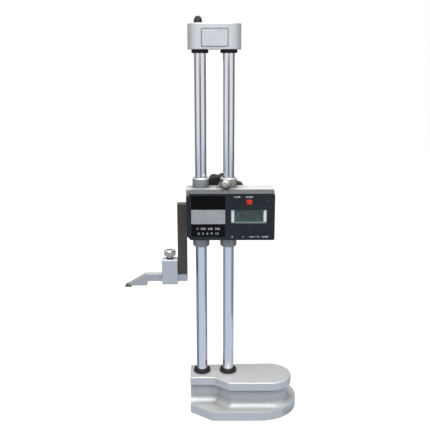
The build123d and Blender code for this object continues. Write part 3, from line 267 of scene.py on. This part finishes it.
def plastic(
    name, low, high, rough_low, rough_high,
    grain=4.0, depth=0.03, specular=0.35, edge_highlight=None, lit_top=None, foot=None,
):
    """Moulded plastic with a fine grain; it can carry a painted highlight along its edges, painted
    light that makes it paler on faces that look up, or another colour below a height.
    """
    finish = Finish(name, specular=specular)
    fine = finish.even_noise(grain, roughness=0.6)
    cloud = finish.even_noise(0.06, detail=2)
    body = finish.ramp(cloud, low, high)
    # painted highlight: the edges take a lighter colour
    if edge_highlight is not None:
        body = finish.mix(finish.edges(0.5), body, edge_highlight)
    # painted light: faces that look up are paler
    if lit_top is not None:
        painted_top_light = finish.ramp(fine, tuple(part * 0.85 for part in lit_top), lit_top)
        body = finish.mix(finish.facing_up(), body, painted_top_light)
    if foot is not None:
        height, foot_color = foot
        body = finish.mix(finish.below(height), body, foot_color)
    finish.color(body)
    finish.rough(finish.span(fine, rough_low, rough_high))
    finish.round_edges(0.25)
    finish.bump(fine, depth)
    return finish.material


def window_clear():
    """A clear, thin window with a faint wipe pattern in its gloss."""
    finish = Finish("window", specular=0.15)
    finish.shader.inputs["Transmission Weight"].default_value = 1.0
    finish.shader.inputs["IOR"].default_value = 1.12
    wipe = finish.noise((0.3, 0.08, 0.9), detail=3)
    finish.color(finish.ramp(wipe, (0.93, 0.96, 0.96), (0.97, 0.99, 0.99)))
    finish.rough(finish.span(wipe, 0.0, 0.05))
    return finish.material


def liquid_crystal():
    """Dark grey-green cell with a slight cloud."""
    finish = Finish("lcd", specular=0.15)
    cloud = finish.noise((0.15, 0.15, 0.3))
    finish.color(finish.ramp(cloud, (0.034, 0.056, 0.050), (0.046, 0.072, 0.064)))
    finish.rough(finish.span(cloud, 0.25, 0.4))
    return finish.material


def board_green():
    """Green lacquered board with darker tracks."""
    track_scale = 0.4
    finish = Finish("board", specular=0.5)
    tracks = finish.node("ShaderNodeTexBrick")
    tracks.inputs["Scale"].default_value = 1.0
    tracks.inputs["Mortar Size"].default_value = 0.12
    tracks.inputs["Color1"].default_value = (0.02, 0.14, 0.05, 1)
    tracks.inputs["Color2"].default_value = (0.03, 0.17, 0.06, 1)
    tracks.inputs["Mortar"].default_value = (0.015, 0.09, 0.035, 1)
    finish.link(finish.stretched((track_scale, track_scale, track_scale)), tracks.inputs["Vector"])
    finish.color(tracks.outputs["Color"])
    finish.rough(finish.span(finish.even_noise(1), 0.25, 0.4))
    return finish.material


def matt_rubber():
    """Soft black rubber with a dusty bloom."""
    finish = Finish("rubber", specular=0.25)
    bloom = finish.even_noise(0.4, detail=4)
    finish.color(finish.ramp(bloom, (0.006, 0.006, 0.008), (0.02, 0.021, 0.024)))
    finish.rough(finish.span(bloom, 0.5, 0.75))
    finish.bump(finish.even_noise(3), 0.05)
    return finish.material


def dark_oxide():
    """Brown-black oxide finish with worn patches."""
    finish = Finish("dark_cap", metallic=0.6)
    patches = finish.even_noise(0.5, detail=4)
    finish.color(finish.ramp(patches, (0.014, 0.010, 0.008), (0.045, 0.033, 0.024)))
    finish.rough(finish.span(patches, 0.35, 0.6))
    finish.bump(finish.even_noise(2.5), 0.05)
    return finish.material


FRAME_FOOT = 260.3  # height of the display frame's lower bar's upper edge, in millimetres
ALONG_X, ALONG_Y, ALONG_Z = 0, 1, 2

FINISHES = {
    # the last value of each cast paint is the painted light on faces that look up
    "cast_paint": cast_paint(tone=0.95, lit_top=0.70),
    "slider_paint": cast_paint("slider_paint", 0.60, 0.92),
    "column_chrome": ground_cylinder("column_chrome", 0.74, (0.99, 0.99, 1.03), 0.12, 0.20),
    "tool_steel": brushed("tool_steel", grey(0.30), grey(0.46), ALONG_Z, 0.28, 0.42),
    "rubber": matt_rubber(),
    "plaque": plastic(
        "plaque", grey(0.57, COOL), grey(0.64, COOL), 0.35, 0.45, grain=2.0, depth=0.01
    ),
    "dark_cap": dark_oxide(),
    "bronze": brushed("bronze", (0.42, 0.27, 0.10), (0.60, 0.42, 0.19), ALONG_Y, 0.3, 0.45),
    # painted highlight on the housing's edges and painted light on its upward faces
    "housing_plastic": plastic(
        "housing_plastic", (0.0085, 0.0115, 0.0155), (0.0115, 0.0150, 0.0195), 0.36, 0.46,
        specular=0.3, edge_highlight=(0.022, 0.026, 0.031), lit_top=(0.125, 0.13, 0.137),
    ),
    "inner_plastic": plastic("inner_plastic", grey(0.05), grey(0.07), 0.4, 0.5),
    # painted highlight on the feed wheel's edges
    "wheel_plastic": plastic(
        "wheel_plastic", grey(0.010), grey(0.016), 0.35, 0.5, edge_highlight=grey(0.16, COOL)
    ),
    "label_black": plastic(
        "label_black", grey(0.0015, COOL), grey(0.003, COOL), 0.16, 0.24,
        grain=1.0, depth=0.002, specular=0.12,
    ),
    "brushed_plate": brushed(
        "brushed_plate", (0.46, 0.445, 0.425), (0.60, 0.58, 0.55), ALONG_X, 0.32, 0.46
    ),
    "window": window_clear(),
    "white_plastic": plastic(
        "white_plastic", (0.50, 0.56, 0.63), (0.56, 0.62, 0.69), 0.4, 0.5,
        foot=(FRAME_FOOT, (0.13, 0.16, 0.15)),
    ),
    "lcd": liquid_crystal(),
    "board": board_green(),
    "cell_steel": brushed("cell_steel", grey(0.5), grey(0.65), ALONG_X, 0.25, 0.35),
    # painted highlight along the jaw's edges
    "jaw_steel": brushed(
        "jaw_steel", (0.060, 0.052, 0.044), (0.150, 0.132, 0.114), ALONG_Z, 0.34, 0.5,
        edge_highlight_tone=(0.22, 0.2, 0.18), fine=3.0,
    ),
    # painted highlight along the scriber's edges and painted light on its top
    "ground_steel": brushed(
        "ground_steel", (0.46, 0.45, 0.44), (0.57, 0.56, 0.55), ALONG_X, 0.34, 0.48,
        edge_highlight_tone=grey(0.66, LILAC), lit_top=grey(0.88),
    ),
    "carbide": brushed("carbide", (0.17, 0.145, 0.125), (0.28, 0.24, 0.21), ALONG_X, 0.35, 0.5),
    # painted highlight along the clamp's edges and painted light on its top
    "clamp_paint": plastic(
        "clamp_paint", (0.43, 0.47, 0.54), (0.48, 0.52, 0.60), 0.36, 0.46,
        edge_highlight=(0.72, 0.76, 0.82), lit_top=(0.80, 0.83, 0.88),
    ),
    # painted highlight on the knob's top
    "nickel": brushed(
        "nickel", (0.56, 0.50, 0.43), (0.68, 0.61, 0.53), ALONG_Z, 0.12, 0.2,
        fine=4.0, depth=0.01, lit_top=grey(0.92),
    ),
    "button_red": plastic("button_red", (0.56, 0.026, 0.012), (0.64, 0.038, 0.018), 0.3, 0.4),
    "button_black": plastic(
        "button_black", (0.008, 0.011, 0.015), (0.011, 0.014, 0.018), 0.34, 0.42, specular=0.3
    ),
}

for node in nodes.values():
    for place in node.material_slots:
        place.material = FINISHES[place.material.name.split(".")[0]]
for place in nodes["slider_casting"].material_slots:
    place.material = FINISHES["slider_paint"]

# ---------------------------------------------------------------- printed marks


def ink(name, low, high, rough=0.5):
    """A printed colour, slightly uneven."""
    finish = Finish(name, specular=0.2)
    finish.color(finish.ramp(finish.even_noise(2, detail=2), low, high))
    finish.shader.inputs["Roughness"].default_value = rough
    return finish.material


WHITE_INK = ink("white_ink", (0.70, 0.72, 0.74), (0.82, 0.84, 0.86))
GREY_INK = ink("grey_ink", (0.40, 0.41, 0.42), (0.52, 0.53, 0.54))
FAINT_INK = ink("faint_ink", (0.05, 0.055, 0.062), (0.075, 0.08, 0.09))
DARK_INK = ink("dark_ink", (0.055, 0.062, 0.075), (0.10, 0.11, 0.125))
SEGMENT_INK = ink("segment_ink", (0.0022, 0.003, 0.003), (0.004, 0.005, 0.005), 0.35)


def piece(name, mesh, material, body):
    """Adds a mesh as a piece of the object that rides on a body."""
    made = bpy.data.objects.new(name, mesh)
    bpy.context.scene.collection.objects.link(made)
    mesh.materials.clear()
    mesh.materials.append(material)
    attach(made, body)
    return made


def plate_mesh(name, outlines, front, thick):
    """Flat plates on the object's front: outlines are lists of (x, z), thickened towards the back."""
    mesh = bpy.data.meshes.new(name)
    form = bmesh.new()
    for outline in outlines:
        rim = [form.verts.new((x, front, z)) for x, z in outline]
        back = [form.verts.new((x, front + thick, z)) for x, z in outline]
        form.faces.new(rim)
        form.faces.new(reversed(back))
        for number in range(len(rim)):
            after = (number + 1) % len(rim)
            form.faces.new((rim[after], rim[number], back[number], back[after]))
    bmesh.ops.recalc_face_normals(form, faces=form.faces)
    form.to_mesh(mesh)
    form.free()
    return mesh


def lettering(name, words, height, centre, front, thick=0.04 * MM):
    """Upright words on the object's front, centred on (x, z), as a mesh."""
    curve = bpy.data.curves.new(name, "FONT")
    curve.body = words
    curve.size = height / 0.73
    curve.align_x = "CENTER"
    curve.align_y = "CENTER"
    curve.extrude = thick / 2
    curve.offset = 0.012 * curve.size
    carrier = bpy.data.objects.new(name + "_text", curve)
    bpy.context.scene.collection.objects.link(carrier)
    bpy.context.view_layer.update()
    mesh = bpy.data.meshes.new_from_object(carrier.evaluated_get(bpy.context.evaluated_depsgraph_get()))
    bpy.data.objects.remove(carrier)
    mesh.name = name
    x, z = centre
    mesh.transform(Matrix.Translation((x, front, z)) @ Matrix.Rotation(radians(90), 4, "X"))
    return mesh


def block(left, right, low, high):
    """A rectangle's corners, counter-clockwise."""
    return [(left, low), (right, low), (right, high), (left, high)]


def rounded_outline(left, right, low, high, radius, steps=6):
    """A rounded rectangle's corners, counter-clockwise."""
    points = []
    centres = (
        (right - radius, low + radius, -90),
        (right - radius, high - radius, 0),
        (left + radius, high - radius, 90),
        (left + radius, low + radius, 180),
    )
    for x, z, start in centres:
        for step in range(steps + 1):
            angle = radians(start + 90 * step / steps)
            points.append((x + radius * cos(angle), z + radius * sin(angle)))
    return points


def ring_mesh(name, rings):
    """A closed ring through loops of points with as many points each, the last joined to the first."""
    mesh = bpy.data.meshes.new(name)
    form = bmesh.new()
    loops = [[form.verts.new(point) for point in ring] for ring in rings]
    for first, second in zip(loops, loops[1:] + loops[:1]):
        for number in range(len(first)):
            after = (number + 1) % len(first)
            form.faces.new((first[number], first[after], second[after], second[number]))
    bmesh.ops.recalc_face_normals(form, faces=form.faces)
    form.to_mesh(mesh)
    form.free()
    return mesh


def frame_mesh(name, outer, inner, front, thick):
    """A flat frame on the object's front, between two outlines of (x, z) with as many points each."""
    back = front + thick
    layers = ((outer, front), (inner, front), (inner, back), (outer, back))
    return ring_mesh(name, [[(x, y, z) for x, z in outline] for outline, y in layers])


def washer_mesh(name, centre, inner_r, outer_r, low, high, steps=48):
    """A flat round ring that lies level."""
    x, y = centre
    turns = [2 * pi * step / steps for step in range(steps)]
    corners = ((outer_r, low), (outer_r, high), (inner_r, high), (inner_r, low))
    return ring_mesh(
        name,
        [[(x + r * cos(turn), y + r * sin(turn), z) for turn in turns] for r, z in corners],
    )


INK_THICK = 0.03 * MM


def on_front(node):
    """The y of a node's front face."""
    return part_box(node)[0].y


# Frame line on the bracket's plate
low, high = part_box("bracket_plate")
line_inset, line_width = 0.5 * MM, 0.75 * MM
outer, inner = [
    rounded_outline(low.x + inset, high.x - inset, low.z + inset, high.z - inset, radius)
    for inset, radius in ((line_inset, 1.8 * MM), (line_inset + line_width, 1.2 * MM))
]
piece(
    "plate_frame_line",
    frame_mesh("plate_frame_line", outer, inner, low.y - INK_THICK, 2 * INK_THICK),
    DARK_INK,
    "stand",
)

# Liquid crystal digits
SEGMENTS = {
    "0": "abcdef", "1": "bc", "2": "abged", "3": "abgcd", "4": "fgbc",
    "5": "afgcd", "6": "afgedc", "7": "abc", "8": "abcdefg", "9": "gfabcd",
}
DIGIT_HEIGHT = 8.6 * MM
DIGIT_WIDTH = 4.3 * MM
DIGIT_PITCH = 6.0 * MM
BAR = 0.95 * MM  # width of a segment
BAR_POINT = 0.25  # a segment's end is drawn in by this share of half its width
POINT_GAP = 0.5 * MM
READING_SHIFT = 0.6 * MM  # makes up for the slant
SLANT = 0.09


def bar_outline(start, end):
    """A six-sided bar between two points."""
    along = (Vector(end) - Vector(start)).normalized() * BAR / 2
    across = Vector((-along.y, along.x))
    first, last = Vector(start) + along * BAR_POINT, Vector(end) - along * BAR_POINT
    inward, outward = first + along, last - along
    return [first, inward - across, outward - across, last, outward + across, inward + across]


def digit_outlines(digit, x, z):
    """Outlines of one digit's segments, from its lower left corner."""
    w, h = DIGIT_WIDTH, DIGIT_HEIGHT
    ends = {
        "a": ((0, h), (w, h)), "b": ((w, h), (w, h / 2)), "c": ((w, h / 2), (w, 0)),
        "d": ((0, 0), (w, 0)), "e": ((0, h / 2), (0, 0)), "f": ((0, h), (0, h / 2)),
        "g": ((0, h / 2), (w, h / 2)),
    }
    outlines = []
    for segment in SEGMENTS[digit]:
        outline = bar_outline(*ends[segment])
        outlines.append([(x + p.x + SLANT * p.y, z + p.y) for p in outline])
    return outlines


low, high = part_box("lcd_glass")
glass_x, glass_z = (low.x + high.x) / 2, (low.z + high.z) / 2
reading = "166.97"
digits = [mark for mark in reading if mark != "."]
run = DIGIT_PITCH * (len(digits) - 1) + DIGIT_WIDTH
left = glass_x - run / 2 - READING_SHIFT
bottom = glass_z - DIGIT_HEIGHT / 2
outlines = []
for number, digit in enumerate(digits):
    outlines += digit_outlines(digit, left + number * DIGIT_PITCH, bottom)
point_x = left + (reading.index(".") - 1) * DIGIT_PITCH + DIGIT_WIDTH + POINT_GAP
outlines.append(block(point_x, point_x + BAR, bottom - BAR / 2, bottom + BAR / 2))
piece(
    "lcd_digits",
    plate_mesh("lcd_digits", outlines, low.y - INK_THICK, 2 * INK_THICK),
    SEGMENT_INK,
    "slider",
)

# Legends on the housing
face_y = on_front("display_housing") - INK_THICK
power_low, power_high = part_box("power_button")
data_low, data_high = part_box("data_button")
function_boxes = [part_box(f"function_button_{number}") for number in range(1, 5)]
LEGEND = 1.75 * MM  # height of the letters
UPPER_RISE, LOWER_DROP = 2.4 * MM, 4.85 * MM  # from the buttons to the rows of legends


def middle_x(box):
    """The x of a box's middle."""
    return (box[0].x + box[1].x) / 2


def fitted(mesh, x, width):
    """Stretches lettering along x to a width, about its middle."""
    places = [vertex.co.x for vertex in mesh.vertices]
    factor = width / (max(places) - min(places))
    shift = Matrix.Translation((x, 0, 0))
    mesh.transform(shift @ Matrix.Diagonal((factor, 1, 1, 1)) @ shift.inverted())
    return mesh


def legend(name, words, x, z, width, height=LEGEND, front=face_y, material=WHITE_INK):
    """Words on the slider's front, fitted to a width."""
    piece(name, fitted(lettering(name, words, height, (x, z), front), x, width), material, "slider")


def mark(name, outlines, front=face_y, material=WHITE_INK, body="slider"):
    """Printed shapes that are not letters."""
    piece(name, plate_mesh(name, outlines, front, 2 * INK_THICK), material, body)


upper_row = power_high.z + UPPER_RISE
lower_row = function_boxes[0][0].z - LOWER_DROP
legend("legend_power", "ON/OFF", middle_x((power_low, power_high)), upper_row, 8.6 * MM)
legend("legend_units", "mm / in", middle_x(function_boxes[2]), lower_row, 11.6 * MM)
legend("legend_zero", "0.00", middle_x(function_boxes[3]), lower_row, 7.4 * MM)

# Plus and minus, as bars that do not overlap
arm, stroke = 0.95 * MM, 0.28 * MM
plus_x, minus_x = middle_x(function_boxes[0]), middle_x(function_boxes[1])
row_low, row_high = lower_row - stroke, lower_row + stroke
mark(
    "legend_plus",
    [
        block(plus_x - arm, plus_x + arm, row_low, row_high),
        block(plus_x - stroke, plus_x + stroke, row_high, lower_row + arm),
        block(plus_x - stroke, plus_x + stroke, lower_row - arm, row_low),
    ],
)
mark("legend_minus", [block(minus_x - arm, minus_x + arm, row_low, row_high)])

# Arrow for the data outlet, over its button and a little to the right
DATA_SHIFT, DATA_RISE = 0.9 * MM, 1.4 * MM
data_x = middle_x((data_low, data_high)) + DATA_SHIFT
data_row = data_high.z + DATA_RISE
shaft, reach, head, barb = 0.32 * MM, 3.9 * MM, 2.4 * MM, 0.95 * MM
tip_x = data_x + reach
neck_x = tip_x - head
mark(
    "legend_data",
    [
        block(data_x - reach, neck_x, data_row - shaft, data_row + shaft),
        [(neck_x, data_row - barb), (tip_x, data_row), (neck_x, data_row + barb)],
    ],
)

# Sliding direction on the battery cover, beside its grip ridges
COVER_MARK_X, COVER_MARK_RISE = 12.6 * MM, 0.8 * MM
cover_low, cover_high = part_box("battery_cover")
arrow_x = cover_low.x + COVER_MARK_X
arrow_z = (cover_low.z + cover_high.z) / 2 + COVER_MARK_RISE
tip_x, back_x, half = arrow_x - 1.2 * MM, arrow_x + 0.9 * MM, 1.4 * MM
mark(
    "battery_arrow",
    [[(tip_x, arrow_z), (back_x, arrow_z - half), (back_x, arrow_z + half)]],
    cover_low.y - INK_THICK,
    FAINT_INK,
    "battery_cover",
)

# Two rows of plain numbers on the label's lower band, each at a share of the band's height
SCALE_HEIGHT = 2.7 * MM
label_low, label_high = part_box("label_panel")
label_x = middle_x((label_low, label_high))
strip_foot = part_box("range_plate")[0].z
for name, words, share, width in (
    ("scale_long", "0  100  200  300", 0.61, 27.5 * MM),
    ("scale_short", "0  3  6  9  12", 0.24, 25.0 * MM),
):
    row = label_low.z + share * (strip_foot - label_low.z)
    legend(name, words, label_x, row, width, SCALE_HEIGHT, label_low.y - INK_THICK, GREY_INK)

# Thin dark ring round the scriber clamp's screw, on the clamp's top
RING_INNER_R, RING_OUTER_R = 3.1 * MM, 4.6 * MM
RING_SUNK, RING_HIGH = 0.02 * MM, 0.55 * MM
screw_low, screw_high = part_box("scriber_clamp_screw")
clamp_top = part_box("scriber_clamp")[1].z
screw_axis = ((screw_low.x + screw_high.x) / 2, (screw_low.y + screw_high.y) / 2)
piece(
    "clamp_dark_ring",
    washer_mesh(
        "clamp_dark_ring", screw_axis, RING_INNER_R, RING_OUTER_R,
        clamp_top - RING_SUNK, clamp_top + RING_HIGH,
    ),
    FINISHES["rubber"],
    "scriber_clamp",
)

# ---------------------------------------------------------------- studio


def sheet_object(name, corners):
    """A flat four-cornered sheet."""
    mesh = bpy.data.meshes.new(name)
    mesh.from_pydata(corners, [], [(0, 1, 2, 3)])
    made = bpy.data.objects.new(name, mesh)
    bpy.context.scene.collection.objects.link(made)
    return made


def empty_tree(name):
    """A material without nodes but its output, and that output's surface."""
    material = bpy.data.materials.new(name)
    material.use_nodes = True
    tree = material.node_tree
    tree.nodes.clear()
    return material, tree, tree.nodes.new("ShaderNodeOutputMaterial").inputs["Surface"]


def seen_directly(tree):
    """A mask that is 1 for rays of the camera, of gloss and through the window."""
    path = tree.nodes.new("ShaderNodeLightPath")
    mask = path.outputs["Is Camera Ray"]
    for kind in ("Is Glossy Ray", "Is Transmission Ray"):
        larger = tree.nodes.new("ShaderNodeMath")
        larger.operation = "MAXIMUM"
        tree.links.new(mask, larger.inputs[0])
        tree.links.new(path.outputs[kind], larger.inputs[1])
        mask = larger.outputs[0]
    return mask


def either_shader(tree, mask, hidden, shown, target):
    """Sends one of two shaders to a target: shown where the mask is 1."""
    pick = tree.nodes.new("ShaderNodeMixShader")
    tree.links.new(mask, pick.inputs["Fac"])
    tree.links.new(hidden, pick.inputs[1])
    tree.links.new(shown, pick.inputs[2])
    tree.links.new(pick.outputs[0], target)


def lit_paper(name, base, glow):
    """Pale paper: near white to the camera and in gloss, with the object's shadow kept."""
    material, tree, surface = empty_tree(name)
    diffuse = tree.nodes.new("ShaderNodeBsdfDiffuse")
    diffuse.inputs["Color"].default_value = (*base, 1)
    light = tree.nodes.new("ShaderNodeEmission")
    light.inputs["Strength"].default_value = glow
    both = tree.nodes.new("ShaderNodeAddShader")
    tree.links.new(diffuse.outputs[0], both.inputs[0])
    tree.links.new(light.outputs[0], both.inputs[1])
    either_shader(tree, seen_directly(tree), diffuse.outputs[0], both.outputs[0], surface)
    return material


FLOOR_PAPER, FLOOR_GLOW = (0.36, 0.36, 0.36), 0.94
floor = sheet_object("floor", [(-FAR, -FAR, 0), (FAR, -FAR, 0), (FAR, FAR, 0), (-FAR, FAR, 0)])
floor.data.materials.append(lit_paper("floor_paper", FLOOR_PAPER, FLOOR_GLOW))


def plain_glow(name, color):
    """An even glow, for cards that only show as reflections."""
    material, tree, surface = empty_tree(name)
    light = tree.nodes.new("ShaderNodeEmission")
    light.inputs["Color"].default_value = (*color, 1)
    tree.links.new(light.outputs[0], surface)
    return material


def reflection_card(name, corners, color):
    """A card that shows in polished and painted metal, and nowhere else."""
    made = sheet_object(name, corners)
    made.data.materials.append(plain_glow(name + "_glow", color))
    made.visible_camera = False
    made.visible_diffuse = False
    made.visible_shadow = False
    made.visible_transmission = False
    return made


def standing_card(name, azimuth, distance, half_width, low, high, color):
    """A reflection card that faces the object, at an azimuth in degrees counted from the front."""
    angle = radians(azimuth)
    out = Vector((sin(angle), -cos(angle), 0))
    side = Vector((cos(angle), sin(angle), 0))
    foot = out * distance + Vector((0, 0, low))
    rise = Vector((0, 0, high - low))
    ends = (foot - side * half_width, foot + side * half_width)
    return reflection_card(name, [*ends, ends[1] + rise, ends[0] + rise], color)


# Cards on the table: a bright wedge that widens towards the front, dim sides, and a bright
# patch beside the base's round end
TABLE = 2.2  # half its width, in metres
TABLE_BEND = -1.1  # y where the bright wedge has widened to the table's sides
WEDGE_TIP = 0.03
table_low = 0.3 * MM
TABLE_BRIGHT = (0.68, 0.77, 0.93)
TABLE_DIM = (0.27, 0.30, 0.35)
front_left, front_right = (-TABLE, -TABLE), (TABLE, -TABLE)
bend_left, bend_right = (-TABLE, TABLE_BEND), (TABLE, TABLE_BEND)
tip_left, tip_right = (-WEDGE_TIP, 0), (WEDGE_TIP, 0)
for name, outline, color in (
    ("front_table_card", [front_left, front_right, bend_right, bend_left], TABLE_BRIGHT),
    ("wedge_card", [bend_left, bend_right, tip_right, tip_left], TABLE_BRIGHT),
    ("left_table_card", [bend_left, tip_left, (-WEDGE_TIP, TABLE), (-TABLE, TABLE)], TABLE_DIM),
    ("right_table_card", [bend_right, tip_right, (WEDGE_TIP, TABLE), (TABLE, TABLE)], TABLE_DIM),
):
    reflection_card(name, [(x, y, table_low) for x, y in outline], color)
low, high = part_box("base_casting")
near_x, far_x, front_y, back_y = high.x, high.x * 3, low.y * 4, high.y * 2
reflection_card(
    "end_card",
    [
        (x, y, 2 * table_low)
        for x, y in ((near_x, front_y), (far_x, front_y), (far_x, back_y), (near_x, back_y))
    ],
    TABLE_BRIGHT,
)

# Dim standing cards: the dark stripe down the middle of each column, and the dark column edges
SIDE_HIGH = 0.62
standing_card("front_card", 0, 1.25, 0.42, 0.0, 0.48, (0.20, 0.21, 0.25))
for name, side, color in (("right", 1, (0.20, 0.22, 0.25)), ("left", -1, (0.28, 0.28, 0.30))):
    standing_card(name + "_card", side * 112, 0.9, 0.52, 0.0, SIDE_HIGH, color)
    standing_card(name + "_rear_card", side * 160, 0.9, 0.36, 0.0, SIDE_HIGH, color)

# White to the camera, in gloss and through the window; a weak cool fill for all other rays
FILL_COLOR, FILL_STRENGTH = (0.85, 0.92, 1.0), 0.2
world = bpy.data.worlds.new("studio")
bpy.context.scene.world = world
world.use_nodes = True
tree = world.node_tree
backdrop = tree.nodes["Background"]
backdrop.inputs["Color"].default_value = (1, 1, 1, 1)
backdrop.inputs["Strength"].default_value = 1.0
fill = tree.nodes.new("ShaderNodeBackground")
fill.inputs["Color"].default_value = (*FILL_COLOR, 1)
fill.inputs["Strength"].default_value = FILL_STRENGTH
either_shader(
    tree,
    seen_directly(tree),
    fill.outputs[0],
    backdrop.outputs[0],
    tree.nodes["World Output"].inputs["Surface"],
)


def softbox(name, position, target, size, brightness, color=(1, 1, 1), mirrored=True):
    """A large soft area lamp aimed at a point; a brightness of 1 is as bright as white paper."""
    light = bpy.data.lights.new(name, "AREA")
    light.shape = "RECTANGLE"
    light.size, light.size_y = size
    light.energy = brightness * pi * size[0] * size[1]
    light.color = color
    made = bpy.data.objects.new(name, light)
    bpy.context.scene.collection.objects.link(made)
    made.location = position
    made.rotation_mode = "QUATERNION"
    made.rotation_quaternion = (Vector(target) - Vector(position)).to_track_quat("-Z", "Y")
    made.visible_glossy = mirrored
    return made


WARM_WHITE, COOL_WHITE = (1.0, 0.995, 0.985), (0.93, 0.96, 1.0)
FILL_AIM, FILL_SIZE = (0, 0, 0.25), (0.9, 1.2)
softbox("overhead", (0.0, -1.3, 1.45), (0.0, -1.3, 0.0), (1.2, 2.6), 4.3, WARM_WHITE)
softbox("left_front", (-1.1, -1.1, 0.9), FILL_AIM, FILL_SIZE, 0.8, COOL_WHITE, False)
softbox("right_front", (1.1, -1.1, 0.9), FILL_AIM, FILL_SIZE, 0.8, COOL_WHITE, False)

# ---------------------------------------------------------------- camera

FOCAL_PIXELS = 650
FRAME_PIXELS = 430
CAMERA_TILT = 13.37  # degrees below the horizon
CAMERA_ROLL = 0.13  # degrees
CAMERA_PAN = 0.022  # degrees
CAMERA_PLACE = (0, -787 * MM, 446.7 * MM)

lens = bpy.data.cameras.new("camera")
lens.sensor_width = 36
lens.lens = lens.sensor_width * FOCAL_PIXELS / FRAME_PIXELS
camera = bpy.data.objects.new("camera", lens)
bpy.context.scene.collection.objects.link(camera)
camera.location = CAMERA_PLACE
camera.rotation_mode = "QUATERNION"
camera.rotation_quaternion = (
    Matrix.Rotation(radians(-CAMERA_PAN), 3, "Z")
    @ Matrix.Rotation(pi / 2 - radians(CAMERA_TILT), 3, "X")
    @ Matrix.Rotation(radians(-CAMERA_ROLL), 3, "Z")
).to_quaternion()
bpy.context.scene.camera = camera

bpy.context.scene.view_settings.view_transform = "Standard"
